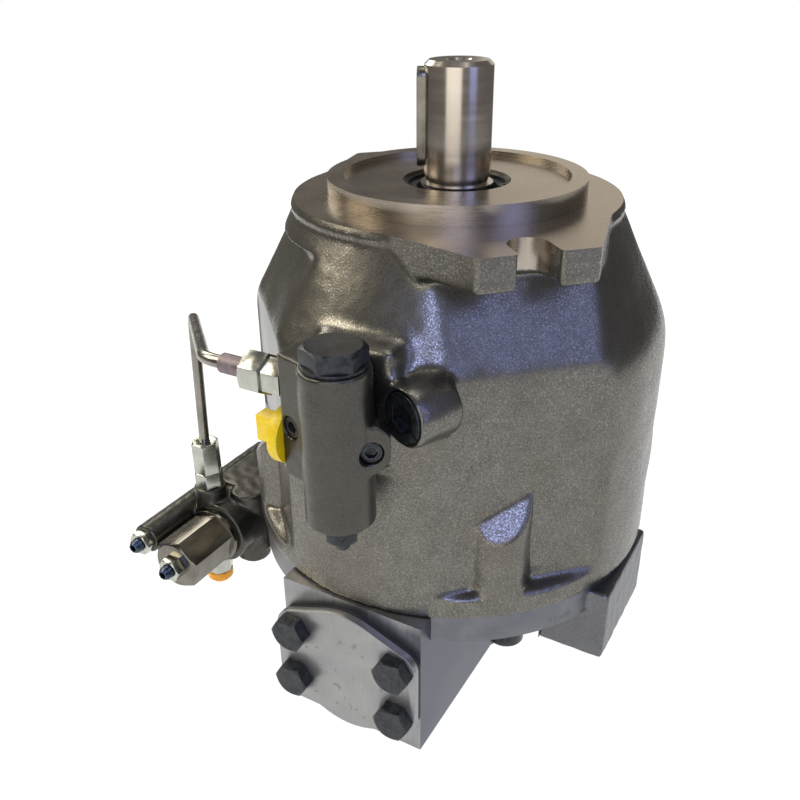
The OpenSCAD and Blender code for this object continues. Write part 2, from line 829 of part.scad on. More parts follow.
module in_swash() { translate([0, 0, pivot_z]) rotate([0, -swash_angle, 0]) children(); }
function piston_angle(i) = i * piston_step;
function ball_centre(i) =
    [ball_pitch_r * cos(piston_angle(i)) * cos(swash_angle), ball_pitch_r * sin(piston_angle(i)),
     pivot_z + ball_pitch_r * cos(piston_angle(i)) * sin(swash_angle)];

piston_shoulder = 13;
piston_chamfer = 3;
piston_hollow_d = 11;
piston_hollow_len = 44;
oil_hole_d = 2;
module piston(i) {
    color(steel) translate(ball_centre(i)) difference() {
        union() {
            sphere(d = ball_d);
            translate([0, 0, -piston_shoulder]) cylinder(d = piston_neck_d, h = piston_shoulder);
            translate([0, 0, -piston_shoulder - piston_chamfer])
                cylinder(d1 = piston_d, d2 = piston_d - 2 * piston_chamfer, h = piston_chamfer);
            translate([0, 0, -piston_len])
                cylinder(d = piston_d, h = piston_len - piston_shoulder - piston_chamfer);
        }
        translate([0, 0, -piston_len - weld]) cylinder(d = piston_hollow_d, h = piston_hollow_len + weld);
        translate([0, 0, -piston_len]) cylinder(d = oil_hole_d, h = piston_len + ball_d);
    }
}

slipper_wrap = 3.5;
slipper_pocket_d = 14;
slipper_pocket = 1;
module slipper(i) {
    color("darkkhaki") in_swash()
        rotate([0, 0, piston_angle(i)]) translate([ball_pitch_r, 0, 0]) difference() {
            union() {
                translate([0, 0, -slipper_wrap]) cylinder(d = slipper_d, h = slipper_wrap + sole_height);
                translate([0, 0, sole_height - sole_t]) cylinder(d = sole_d, h = sole_t);
            }
            sphere(d = ball_d + 2 * run_gap);
            cylinder(d = oil_hole_d, h = sole_height + weld);
            translate([0, 0, sole_height - slipper_pocket])
                cylinder(d = slipper_pocket_d, h = slipper_pocket + weld);
        }
}

retainer_gap = 1;
retainer_rim = 4;
module retaining_plate() {
    top = sole_height - sole_t - run_gap;
    hole_d = slipper_d + 2 * retainer_gap;
    color(dark_steel) in_swash() difference() {
        translate([0, 0, top - retainer_t])
            cylinder(r = ball_pitch_r + hole_d / 2 + retainer_rim, h = retainer_t);
        sphere(d = retainer_ball_d + 2 * run_gap);
        for (i = [0:piston_count - 1]) rotate([0, 0, piston_angle(i)])
            translate([ball_pitch_r, 0, top - retainer_t - weld])
                cylinder(d = hole_d, h = retainer_t + 2 * weld);
    }
}

// Swash plate, its bearing shells and the two control pistons

arm_w = 24;
arm_t = 10;
arm_over = 8;
swash_hole_r = core_d / 2 + 4;
cradle_half = 42;
module swash_plate() {
    hole_shift = cradle_r * tan(swash_angle);
    color(dark_steel) in_swash() difference() {
        union() {
            translate([0, 0, sole_plane]) cylinder(d = swash_d, h = swash_t);
            for (s = [-1, 1])
                intersection() {
                    translate([0, s * (cradle_inner + cradle_w / 2), 0]) to_front()
                        cylinder(r = cradle_r, h = cradle_w, center = true);
                    translate([-cradle_half, -cradle_inner - cradle_w, sole_plane])
                        cube([2 * cradle_half, 2 * (cradle_inner + cradle_w), cradle_r]);
                }
            translate([-control_reach - arm_over, -arm_w / 2, sole_plane])
                cube([2 * (control_reach + arm_over), arm_w, arm_t]);
        }
        translate([0, 0, sole_plane - weld]) linear_extrude(cradle_r) {
            circle(swash_hole_r);
            translate([hole_shift, 0]) circle(swash_hole_r);
            translate([0, -swash_hole_r]) square([hole_shift, 2 * swash_hole_r]);
        }
    }
}

shell_half = 31;
module cradle_shells() {
    color("peru") for (s = [-1, 1]) intersection() {
        translate([0, s * (cradle_inner + cradle_w / 2), pivot_z]) to_front() difference() {
            cylinder(r = cradle_r + run_gap + shell_t, h = cradle_w, center = true);
            cylinder(r = cradle_r + run_gap, h = cradle_w + weld, center = true);
        }
        translate([-shell_half, -cradle_inner - cradle_w, pivot_z])
            cube([2 * shell_half, 2 * (cradle_inner + cradle_w), 2 * cradle_r]);
    }
}

module stroking_piston() {
    color(steel) translate([-control_reach, 0, stroker_rest_z]) {
        sphere(tip_r);
        translate([0, 0, -tip_r]) cylinder(r = tip_r - 1, h = tip_r);
        translate([0, 0, -stroker_len]) cylinder(d = stroker_d, h = stroker_len - tip_r);
    }
}

bias_seat_d = 28;
bias_seat_t = 6;
bias_guide_wall = 2.5;
bias_guide_h = 38;
bias_rod_len = 96;
bias_seat_z = bias_rest_z - tip_r - bias_seat_t;
module bias_piston() {
    color(steel) translate([control_reach, 0, bias_rest_z]) {
        sphere(tip_r);
        translate([0, 0, -tip_r]) cylinder(r = tip_r - 1, h = tip_r);
        translate([0, 0, -tip_r - bias_seat_t]) cylinder(d = bias_seat_d, h = bias_seat_t);
        translate([0, 0, -bias_rod_len]) cylinder(d = bias_rod_d, h = bias_rod_len - tip_r);
    }
}
module bias_spring() {
    inner_r = bias_rod_d / 2 + run_gap + bias_guide_wall;
    color(dark_steel) translate([control_reach, 0, joint_z + run_gap])
        spring(inner_r + run_gap + bias_wire / 2 + 0.4, bias_wire, bias_turns,
               bias_seat_z - joint_z - 2 * run_gap);
}

// Port plate

stroker_wall = 4;
stroker_bore_h = 62;
module port_plate_castings() {
    translate([0, 0, joint_z - disc_t]) cylinder(d = disc_d, h = disc_t);
    translate([0, 0, foot_z]) cylinder(d = hub_d, h = joint_z - foot_z);
    // Pressure block in front and suction block behind
    translate([-port_block_w / 2, -port_reach, foot_z])
        cube([port_block_w, port_reach - hub_d / 4, joint_z - foot_z]);
    translate([-suction_block_w / 2, hub_d / 2 - 10, foot_z])
        cube([suction_block_w, port_reach - hub_d / 2 + 10, joint_z - foot_z]);
    // Blank pad on the right
    blank_inner = 73;
    blank_sunk = 3;
    translate([blank_inner, -blank_front, joint_z - blank_h])
        cube([blank_reach - blank_inner, blank_front + blank_back, blank_h - blank_sunk]);
    // Pad of the control valve on the left
    translate([-side_reach, -side_w / 2, joint_z - valve_pad_h])
        cube([side_reach - hub_d / 4, side_w, valve_pad_h]);
    // Cylinder of the stroking piston and guide of the bias piston
    translate([-control_reach, 0, joint_z - weld])
        cylinder(d = stroker_d + 2 * (run_gap + stroker_wall), h = stroker_bore_h + weld);
    translate([control_reach, 0, joint_z - weld])
        cylinder(d = bias_rod_d + 2 * (run_gap + bias_guide_wall), h = bias_guide_h + weld);
}

port_gallery = 30;
kidney_depth = 24;
suction_bolt_d = 12;
suction_bolt_depth = 24;
cover_bolt_grip = 18;
module port_plate() {
    color("lightslategray") difference() {
        port_plate_castings();
        // Galleries from the ports to the kidneys
        translate([0, -port_reach - weld, port_z]) rotate([-90, 0, 0])
            cylinder(d = pressure_bore_d, h = port_reach + weld - port_gallery);
        translate([0, port_reach + weld, port_z]) to_front()
            cylinder(d = suction_bore_d, h = port_reach + weld - port_gallery);
        for (s = [-1, 1]) translate([0, 0, joint_z - kidney_depth]) rotate([0, 0, s * 90])
            kidney(bore_pitch_r, kidney_w, kidney_half, kidney_depth + weld);
        // Rear bush and shaft end
        translate([0, 0, bush_top_z - bush_len])
            cylinder(d = journal_d + 2 * (run_gap + bush_wall), h = joint_z - bush_top_z + bush_len + weld);
        translate([0, 0, shaft_end_z - 2])
            cylinder(d = journal_d + 2 * run_gap, h = bush_len);
        // Cylinder bores of the control pistons
        translate([-control_reach, 0, joint_z + 1])
            cylinder(d = stroker_d + 2 * run_gap, h = stroker_bore_h);
        translate([control_reach, 0, joint_z - disc_t])
            cylinder(d = bias_rod_d + 2 * run_gap, h = bias_guide_h + disc_t + weld);
        // Bolt holes of both ports
        for (x = [-1, 1], z = [-1, 1]) {
            translate([x * pressure_pitch_x / 2, -port_reach - weld, port_z + z * pressure_pitch_z / 2])
                rotate([-90, 0, 0]) cylinder(d = cover_bolt_d, h = cover_bolt_grip + weld);
            translate([x * suction_pitch_x / 2, port_reach + weld, port_z + z * suction_pitch_z / 2])
                to_front() cylinder(d = suction_bolt_d, h = suction_bolt_depth + weld);
        }
        // Joint screws with their head seats
        at_corners() translate([joint_ring_r, 0, 0]) {
            translate([0, 0, foot_z]) cylinder(d = joint_head_d + 2, h = joint_z - disc_t - foot_z);
            translate([0, 0, joint_z - disc_t - weld]) cylinder(d = joint_screw_d, h = disc_t + 2 * weld);
        }
        // Screws of the control valve
        for (y = valve_screw_ys) translate([-side_reach - weld, y, -valve_screw_depth])
            rotate([0, 90, 0]) cylinder(d = valve_screw_d, h = valve_screw_grip + weld);
    }
}

joint_head_d = 18;
joint_head_h = 12;
module port_plate_screws() {
    color(black) at_corners()
        translate([joint_ring_r, 0, joint_z - disc_t]) rotate([180, 0, 0])
            socket_screw(joint_screw_d, disc_t + joint_screw_grip - 1, joint_head_h);
}

// Pressure port cover with its gasket and bolts

module cover_outline(grow) {
    corner = [pressure_pitch_x, pressure_pitch_z] / 2;
    corner_r = cover_corner_r + grow;
    belly_r = cover_belly_r + grow;
    normal = atan2(corner[1], corner[0]) + acos((belly_r - corner_r) / norm(corner));
    along = [cos(normal), sin(normal)];
    on_belly = (belly_r - hair) * along;
    on_corner = corner + (corner_r - hair) * along;
    side = [corner[0] + corner_r - hair, corner[1]];
    quarter = [side, on_corner, on_belly];
    circle(belly_r);
    for (x = [-1, 1], z = [-1, 1]) translate([x * corner[0], z * corner[1]]) circle(corner_r);
    polygon(concat(
        [for (p = quarter) p],
        [for (p = [on_belly, on_corner, side]) [-p[0], p[1]]],
        [for (p = quarter) -p],
        [for (p = [on_belly, on_corner, side]) [p[0], -p[1]]]));
}
module cover_holes(d) {
    for (x = [-1, 1], z = [-1, 1])
        translate([x * pressure_pitch_x / 2, z * pressure_pitch_z / 2]) circle(d = d);
}
module on_cover(out) { translate([0, -port_reach - out, port_z]) to_front() children(); }
module pressure_gasket() {
    color(black) on_cover(0) linear_extrude(gasket_t) difference() {
        cover_outline(-0.6);
        cover_holes(cover_bolt_d + 1);
    }
}
module pressure_cover() {
    color("lightgray") on_cover(gasket_t) linear_extrude(cover_t) difference() {
        cover_outline(0);
        cover_holes(cover_bolt_d + 1);
    }
}
module pressure_bolts() {
    washer_t = 0.6;
    grip = gasket_t + cover_t + cover_bolt_grip - 1;
    color(black) on_cover(gasket_t + cover_t)
        for (x = [-1, 1], z = [-1, 1])
            translate([x * pressure_pitch_x / 2, z * pressure_pitch_z / 2, 0]) {
                cylinder(d = cover_bolt_af, h = washer_t);
                translate([0, 0, washer_t]) turned_hex(cover_bolt_af, cover_bolt_h);
                translate([0, 0, -grip]) cylinder(d = cover_bolt_d, h = grip + washer_t);
            }
}

// Power valve on the front of the housing

power_screw_d = 6;
power_screw_head = 5;
power_screw_sunk = 6;
power_screw_reach = 23;
power_screw_grip = 9;
power_tip_chamfer = 2;
wing_spigot_d = 10;
wing_spigot = 4;
wing_y = -pad_reach - 12;
port_y = -pad_reach - 13;
coupling_spigot_d = 9;
coupling_spigot = 7;
left_turn = -17;
left_width = 13.5;
right_turn = 35;
right_out = 9;
valve_ear_top = power_top + 22;
valve_ear_reach = 21;
ear_screw_x = 13.1;
ear_screw_drop = 13.6;
left_screw_x = 5.6;
left_screw_drop = 32.3;
column_foot_drop = 24;
left_corner = [-power_left, -power_left_reach];
left_along = [cos(left_turn), sin(left_turn)];

// Both screws of the power valve, seen from outside along their axes
module at_power_screws() {
    on_left = left_corner + left_screw_x * left_along;
    translate([on_left[0], on_left[1], -power_top - left_screw_drop]) rotate([0, 0, left_turn])
        to_front() children();
    translate([power_x, power_y, 0]) rotate([0, 0, right_turn])
        translate([ear_screw_x, -right_out, -valve_ear_top - ear_screw_drop]) to_front() children();
}
module power_valve_body() {
    top_z = -power_top;
    left_inner = left_corner + left_width * left_along;
    color(cast) difference() {
        union() {
            // Left block with the two ports
            translate([0, 0, -power_low]) linear_extrude(power_low - power_top)
                polygon([left_corner, left_inner, [power_x, power_y], [power_x, -pad_reach],
                         [-power_left, -pad_reach]]);
            // Foot of the column on the pad
            translate([power_x - 1, power_y, -power_low])
                cube([power_tube_d / 4 + 1, power_out,
                      power_low - power_top - column_foot_drop]);
            // Right ear
            translate([power_x, power_y, 0]) rotate([0, 0, right_turn]) to_front()
                linear_extrude(right_out)
                    polygon([[0, -valve_ear_top], [valve_ear_reach - 4, -valve_ear_top - 2],
                             [valve_ear_reach, -valve_ear_top - 6], [valve_ear_reach, -valve_ear_top - 18],
                             [valve_ear_reach - 5, -valve_ear_top - 23],
                             [0, -valve_ear_top - 29]]);
            // Column
            translate([power_x, power_y, -power_bottom + power_tip_chamfer])
                cylinder(d = power_tube_d, h = power_bottom - power_tip_chamfer - power_top);
            translate([power_x, power_y, -power_bottom])
                cylinder(d1 = power_tube_d - 2 * power_tip_chamfer, d2 = power_tube_d,
                         h = power_tip_chamfer);
        }
        at_power_screws() {
            translate([0, 0, -2 * power_screw_reach]) cylinder(d = power_screw_d, h = 2 * power_screw_reach);
            translate([0, 0, -power_screw_sunk])
                cylinder(d = power_screw_d * 1.5 + 1, h = 2 * power_screw_sunk);
        }
        // Ports on the left side
        translate([-power_left - weld, port_y, -tube_port_depth]) rotate([0, 90, 0])
            cylinder(d = coupling_spigot_d, h = coupling_spigot + weld);
        translate([-power_left - weld, wing_y, -wing_depth]) rotate([0, 90, 0])
            cylinder(d = wing_spigot_d, h = wing_spigot + weld);
        // Adjusting screw
        translate([power_x, power_y, -power_bottom - weld])
            cylinder(d = adjuster_d + 2 * run_gap, h = adjuster_seat + 2 * weld);
    }
}
module power_valve_plug() {
    collar = 1.5;
    face_turn = -25;
    color(black) translate([power_x, power_y, -power_top]) {
        cylinder(d = power_plug_af + 3, h = collar);
        rotate([0, 0, face_turn]) translate([0, 0, collar])
            turned_hex(power_plug_af, power_plug_h - collar);
    }
}
module winged_plug() {
    tab_len = 8;
    tab_h = 13;
    tab_t = 9;
    color("gold") translate([-power_left, wing_y, -wing_depth]) to_left() {
        cylinder(d = wing_d, h = wing_t);
        translate([0, 0, -wing_spigot + 0.5]) cylinder(d = wing_spigot_d, h = wing_spigot);
        translate([-tab_h / 2, -tab_t / 2, wing_t - weld]) cube([tab_h, tab_t, tab_len + weld]);
    }
}

// Adjusting screws and their lock nuts share one pattern along +Z

adjuster_seat = 10;
module adjuster(length_in) {
    color("darkslategray") difference() {
        translate([0, 0, -length_in]) cylinder(d = adjuster_d, h = length_in + nut_h + adjuster_out);
        translate([0, 0, nut_h + adjuster_out / 3]) hex(adjuster_d / 2, adjuster_out);
    }
}
module lock_nut() {
    difference() {
        turned_hex(nut_af, nut_h);
        translate([0, 0, -weld]) cylinder(d = adjuster_d + 2 * run_gap, h = nut_h + 2 * weld);
    }
}
module at_power_adjuster() { translate([power_x, power_y, -power_bottom]) rotate([180, 0, 0]) children(); }
module at_press_adjuster() { translate([-press_x, cap_front_y, -press_depth]) to_front() children(); }
module at_flow_adjuster() { translate([-flow_x, flow_front_y, -flow_depth]) to_front() children(); }
module power_adjuster() { at_power_adjuster() adjuster(adjuster_seat); }
module pressure_adjuster() { at_press_adjuster() adjuster(cap_wall + 1); }
module flow_adjuster() { at_flow_adjuster() adjuster(cap_wall + 1); }
module lock_nuts() {
    color(steel) {
        at_power_adjuster() lock_nut();
        at_press_adjuster() lock_nut();
        at_flow_adjuster() lock_nut();
    }
}

// Control valve on the left pad

cap_wall = 8;
cap_collar_t = 4;
spool_back_y = 18;
press_land = 44;
flow_land = 48;
spring_room = 1.4;
corner_x = 121;
corner_y = 35;
corner_top = 190;
corner_bottom = 238;
valve_screw_depth = 225;
valve_screw_d = 8;
valve_screw_head = 8;
valve_screw_grip = 14;
valve_screw_ys = [-14, 14];
valve_top_z = -press_depth + 22;
valve_bottom_z = -press_depth - 20;
block_inset = 8;
riser_boss_d = 19;
gauge_x = 137;
gauge_y = 51;
gauge_z = valve_bottom_z - 3;
module control_valve_body() {
    back = valve_back;
    color(dark_steel) difference() {
        union() {
            translate([-flow_x + block_inset, -corner_y, valve_bottom_z])
                cube([flow_x - block_inset - side_reach, back + corner_y, valve_top_z - valve_bottom_z]);
            translate([-press_x, back, -press_depth]) to_front()
                cylinder(d = press_barrel_d, h = back - valve_y);
            translate([-flow_x, back, -flow_depth]) to_front()
                cylinder(d = flow_barrel_d, h = back - flow_front_y);
            translate([-corner_x, -corner_y, -corner_bottom])
                cylinder(r = corner_r, h = corner_bottom - corner_top);
            translate([-riser_x, -riser_y, valve_top_z - riser_boss_d])
                cylinder(d = riser_boss_d, h = coupling_top_z - valve_top_z + riser_boss_d);
            translate([-gauge_x, -gauge_y, gauge_z]) cylinder(d = riser_boss_d, h = riser_boss_d);
        }
        // Spool bores with their spring rooms
        translate([-press_x, spool_back_y + 2, -press_depth]) to_front()
            cylinder(d = press_spool_d + 2 * run_gap, h = spool_back_y + 2 - valve_y + weld);
        translate([-press_x, valve_y + cap_spigot, -press_depth]) to_front()
            cylinder(d = cap_spigot_d, h = cap_spigot + weld);
        translate([-flow_x, spool_back_y + 2, -flow_depth]) to_front()
            cylinder(d = flow_spool_d + 2 * run_gap, h = spool_back_y + 2 - flow_front_y);
        translate([-flow_x, -flow_land, -flow_depth]) to_front()
            cylinder(d = flow_room_d, h = flow_barrel_front - flow_land - cap_wall);
        translate([-flow_x, flow_front_y + weld, -flow_depth]) to_front()
            cylinder(d = adjuster_d + 2 * run_gap, h = 3 * weld);
        // Spot face for the spring cap's collar
        translate([-press_x, valve_y, -press_depth]) to_front()
            cylinder(d = cap_collar_d + 2 * seat_room, h = 2 * riser_boss_d);
        // Couplings above and below
        translate([-riser_x, -riser_y, coupling_top_z - coupling_spigot])
            cylinder(d = coupling_spigot_d, h = coupling_spigot + weld);
        translate([-gauge_x, -gauge_y, gauge_z - weld])
            cylinder(d = coupling_spigot_d, h = coupling_spigot + weld);
        // Mounting screws
        for (y = valve_screw_ys) translate([-side_reach, y, -valve_screw_depth]) to_left() {
            translate([0, 0, -weld]) cylinder(d = valve_screw_d, h = flow_x);
            translate([0, 0, valve_screw_seat]) cylinder(d = valve_screw_d * 1.5 + 1, h = flow_x);
        }
    }
}
valve_screw_seat = 8;

cap_turn = 17;
cap_spigot = 8;
cap_spigot_d = 24;
cap_room_d = 19;
seat_room = 0.5;
flow_room_d = 13;
module spring_cap() {
    color(dark_steel) translate([-press_x, valve_y, -press_depth]) to_front() difference() {
        union() {
            translate([0, 0, -cap_spigot]) cylinder(d = cap_spigot_d, h = cap_spigot + weld);
            cylinder(d = cap_collar_d, h = cap_collar_t);
            rotate([0, 0, cap_turn]) translate([0, 0, cap_collar_t - weld])
                turned_hex(cap_af, cap_len - cap_collar_t + weld);
        }
        translate([0, 0, -cap_spigot - weld])
            cylinder(d = cap_room_d, h = cap_spigot + cap_len - cap_wall + weld);
        cylinder(d = adjuster_d + 2 * run_gap, h = cap_len + weld);
    }
}

spool_seat_t = 3;
module spool(d, land, waist_d, waist_len, seat_d) {
    length = spool_back_y + land;
    difference() {
        cylinder(d = d, h = length);
        for (a = [0.3, 0.65]) translate([0, 0, length * a]) difference() {
            cylinder(d = d + weld, h = waist_len);
            cylinder(d = waist_d, h = waist_len);
        }
    }
    translate([0, 0, length]) cylinder(d = seat_d, h = spool_seat_t);
}
module pressure_spool() {
    color(steel) translate([-press_x, spool_back_y, -press_depth]) to_front()
        spool(press_spool_d, valve_front - cap_spigot + run_gap, press_spool_d - 4, 8,
              cap_room_d - spring_room);
}
module flow_spool() {
    color(steel) translate([-flow_x, spool_back_y, -flow_depth]) to_front()
        spool(flow_spool_d, flow_land + run_gap, flow_spool_d - 3, 7, flow_room_d - spring_room);
}
press_spring_y = valve_y + cap_spigot - spool_seat_t - run_gap;
flow_spring_y = -flow_land - spool_seat_t - run_gap;
module pressure_spring() {
    wire = 2.4;
    end_y = cap_front_y + cap_wall + 1;
    color(dark_steel) translate([-press_x, press_spring_y - run_gap, -press_depth]) to_front()
        spring(cap_room_d / 2 - spring_room / 2 - wire / 2, wire, 6, press_spring_y - end_y - 2 * run_gap);
}
module flow_spring() {
    wire = 1.8;
    end_y = flow_front_y + cap_wall + 1;
    color(dark_steel) translate([-flow_x, flow_spring_y - run_gap, -flow_depth]) to_front()
        spring(flow_room_d / 2 - spring_room / 2 - wire / 2, wire, 7, flow_spring_y - end_y - 2 * run_gap);
}

module valve_screws() {
    color(black) {
        at_power_screws() translate([0, 0, -power_screw_sunk])
            socket_screw(power_screw_d, power_screw_reach - power_screw_sunk + power_screw_grip - 1,
                         power_screw_head);
        for (y = valve_screw_ys) translate([-side_reach - valve_screw_seat, y, -valve_screw_depth])
            to_left() socket_screw(valve_screw_d, valve_screw_seat + valve_screw_grip - 1, valve_screw_head);
    }
}

// Pilot tube, its couplings and nuts, and the capped gauge coupling

coupling_thread_d = 11;
coupling_thread = 6;
module coupling() {
    difference() {
        union() {
            translate([0, 0, -coupling_spigot]) cylinder(d = coupling_spigot_d, h = coupling_spigot + weld);
            turned_hex(coupling_af, coupling_len);
            cylinder(d = coupling_thread_d, h = coupling_len + coupling_thread);
        }
        translate([0, 0, -coupling_spigot - weld])
            cylinder(d = tube_d - 2 * tube_wall, h = coupling_spigot + coupling_len + 2 * weld);
        translate([0, 0, coupling_len]) cylinder(d = tube_d, h = coupling_thread + weld);
    }
}
module at_riser() { translate([-riser_x, -riser_y, coupling_top_z]) children(); }
module at_tube_port() { translate([-power_left, port_y, -tube_port_depth]) to_left() children(); }
module at_gauge() { translate([-gauge_x, -gauge_y, gauge_z]) rotate([180, 0, 0]) children(); }
module tube_couplings() {
    color(steel) {
        at_riser() coupling();
        at_tube_port() coupling();
        at_gauge() coupling();
    }
}
module tube_nut_bore(length) {
    translate([0, 0, -weld]) cylinder(d = coupling_thread_d, h = coupling_thread + weld);
    cylinder(d = tube_d, h = length + weld);
}
module tube_nuts() {
    color(steel) {
        at_riser() translate([0, 0, coupling_len]) difference() {
            turned_hex(tube_nut_af, tube_nut_len);
            tube_nut_bore(tube_nut_len);
        }
        at_tube_port() translate([0, 0, coupling_len]) difference() {
            turned_hex(upper_nut_af, upper_nut_len);
            tube_nut_bore(upper_nut_len);
        }
    }
}
module pilot_tube() {
    riser = [-riser_x, -riser_y];
    bend_x = -62;
    lean_x = 3;
    bore = tube_d - 2 * tube_wall;
    path = [[riser[0], riser[1], coupling_top_z + coupling_len],
            [riser[0], riser[1], tube_nut_top_z + weld],
            [riser[0] + lean_x, riser[1], -riser_top],
            [bend_x, port_y, -tube_port_depth],
            [-power_left - coupling_len, port_y, -tube_port_depth]];
    color(steel) difference() {
        union() {
            bent_bar(path, tube_bend, tube_d, 0);
            at_tube_port() translate([0, 0, coupling_len + upper_nut_len])
                cylinder(d = sleeve_d, h = sleeve_len);
        }
        bent_bar(path, tube_bend, bore, weld);
    }
}
module gauge_cap() {
    cap_d = 16;
    cap_over = 8;
    cap_taper = 3;
    color("orange") at_gauge() translate([0, 0, coupling_len]) difference() {
        union() {
            cylinder(d = cap_d, h = cap_over - cap_taper);
            translate([0, 0, cap_over - cap_taper])
                cylinder(d1 = cap_d, d2 = cap_d - 2 * cap_taper, h = cap_taper);
        }
        translate([0, 0, -weld]) cylinder(d = coupling_thread_d, h = coupling_thread + weld);
    }
}

housing();
port_plate();
port_plate_screws();
valve_plate();
front_bearing_cup();
rear_bush();
shaft_seal();
seal_circlip();
cradle_shells();
pressure_gasket();
pressure_cover();
pressure_bolts();
power_valve_body();
power_valve_plug();
valve_screws();
lock_nuts();
drain_plug();
winged_plug();
tube_couplings();
tube_nuts();
pilot_tube();
control_valve_body();
spring_cap();
pressure_spring();
flow_spring();
gauge_cap();
bias_spring();
power_adjuster();
pressure_adjuster();
flow_adjuster();
pressure_spool();
flow_spool();
stroking_piston();
bias_piston();
drive_shaft();
shaft_key();
cylinder_block();
retaining_ball();
front_bearing_cone();
front_rollers();
swash_plate();
retaining_plate();
for (i = [1:piston_count]) {
    piston(i - 1);
    slipper(i - 1);
}
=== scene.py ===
import bpy
import bmesh
import json
import math
import numpy as np
from mathutils import Matrix, Vector


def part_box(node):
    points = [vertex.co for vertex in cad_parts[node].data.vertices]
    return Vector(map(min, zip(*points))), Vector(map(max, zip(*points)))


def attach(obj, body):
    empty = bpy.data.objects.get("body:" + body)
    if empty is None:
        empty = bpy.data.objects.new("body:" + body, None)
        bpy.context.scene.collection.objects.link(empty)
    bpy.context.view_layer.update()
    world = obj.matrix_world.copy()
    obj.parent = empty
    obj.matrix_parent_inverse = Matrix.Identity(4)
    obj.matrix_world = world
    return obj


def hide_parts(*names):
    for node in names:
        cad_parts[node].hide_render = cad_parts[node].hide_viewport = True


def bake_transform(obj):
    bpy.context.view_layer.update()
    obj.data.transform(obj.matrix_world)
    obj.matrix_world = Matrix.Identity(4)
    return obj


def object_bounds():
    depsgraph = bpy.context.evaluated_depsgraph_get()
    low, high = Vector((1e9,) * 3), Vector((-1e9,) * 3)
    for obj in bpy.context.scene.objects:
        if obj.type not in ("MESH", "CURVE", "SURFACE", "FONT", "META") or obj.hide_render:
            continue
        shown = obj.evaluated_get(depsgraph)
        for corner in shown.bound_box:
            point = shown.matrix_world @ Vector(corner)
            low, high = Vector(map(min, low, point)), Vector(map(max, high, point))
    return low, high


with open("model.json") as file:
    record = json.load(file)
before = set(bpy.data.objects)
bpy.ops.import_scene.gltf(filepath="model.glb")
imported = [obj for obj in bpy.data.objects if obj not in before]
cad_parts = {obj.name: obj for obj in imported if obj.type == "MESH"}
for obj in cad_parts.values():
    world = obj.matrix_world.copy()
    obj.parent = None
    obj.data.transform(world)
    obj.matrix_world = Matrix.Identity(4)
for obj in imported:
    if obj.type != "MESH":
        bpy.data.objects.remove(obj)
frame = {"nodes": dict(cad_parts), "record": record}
cadLow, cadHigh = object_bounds()
record = frame["record"]
mm = 0.001
bodyOf = {node: body for body, nodes in record["behaviour"]["bodies"].items() for node in nodes}
bpy.context.scene.view_settings.view_transform = "Standard"     # plain contrast, as the photograph has it
print("frame loaded:", len(frame["nodes"]), "nodes")


# Camera, solved on the pilot, the bolt slots and the shaft
cameraView = {
    "place": (0.1857, -0.3797, 0.1035),
    "turn": 29.91,      # degrees round the shaft, from the front
    "down": 27.27,
    "roll": 0.51,
    "focalPixels": 870.21,
    "framePixels": 800,
}


def makeCamera():
    turn, down, roll = (math.radians(cameraView[k]) for k in ("turn", "down", "roll"))
    level = Vector((-math.sin(turn), math.cos(turn), 0))
    forward = level * math.cos(down) - Vector((0, 0, math.sin(down)))
    right = Vector((level.y, -level.x, 0))
    below = forward.cross(right)
    across = math.cos(roll) * right + math.sin(roll) * below
    drop = math.cos(roll) * below - math.sin(roll) * right
    lens = bpy.data.cameras.new("photoCamera")
    lens.sensor_width = 36
    lens.lens = cameraView["focalPixels"] / cameraView["framePixels"] * lens.sensor_width
    lens.clip_start = 0.01
    holder = bpy.data.objects.new("photoCamera", lens)
    axes = Matrix((across, -drop, -forward)).transposed().to_4x4()
    holder.matrix_world = Matrix.Translation(cameraView["place"]) @ axes
    bpy.context.scene.collection.objects.link(holder)
    bpy.context.scene.camera = holder


makeCamera()
print("camera set")


# Shaders

def linear(hexText):
    parts = [int(hexText[i:i + 2], 16) / 255 for i in (1, 3, 5)]
    return tuple(p / 12.92 if p <= 0.04045 else ((p + 0.055) / 1.055) ** 2.4 for p in parts) + (1.0,)


def addNode(tree, kind, inputs=None, **settings):
    node = tree.nodes.new(kind)
    for key, value in settings.items():
        setattr(node, key, value)
    for socket, value in (inputs or {}).items():
        if isinstance(value, bpy.types.NodeSocket):
            tree.links.new(value, node.inputs[socket])
        else:
            node.inputs[socket].default_value = value
    return node


def startMaterial(name, metallic, ior=None):
    material = bpy.data.materials.new(name)
    material.use_nodes = True
    tree = material.node_tree
    shader = tree.nodes["Principled BSDF"]
    shader.inputs["Metallic"].default_value = metallic
    if ior:
        shader.inputs["IOR"].default_value = ior
    place = addNode(tree, "ShaderNodeTexCoord").outputs["Object"]
    return material, tree, shader, place


def perMetre(sizeMm):
    return 1 / (sizeMm * mm)


# Grey iron as cast in sand: a dark skin of fine grains with browner fields, where the highest grains are
# painted lighter as a painted glint
castIron = {
    "dark": "#53514b", "light": "#827f76", "brown": "#666057", "paintedGlint": "#aaa8a0",
    "grainMm": 0.8,     # sand grain, drawn coarser than the real 0.4 mm so that it shows
    "blotchMm": 9, "blotchShare": 0.4,
    "stainMm": 45, "stainShare": 0.35, "paintedGlintShare": 0.32,
    "bumpMm": 0.08, "roughLow": 0.2, "roughHigh": 0.42, "metallic": 0.92,
}


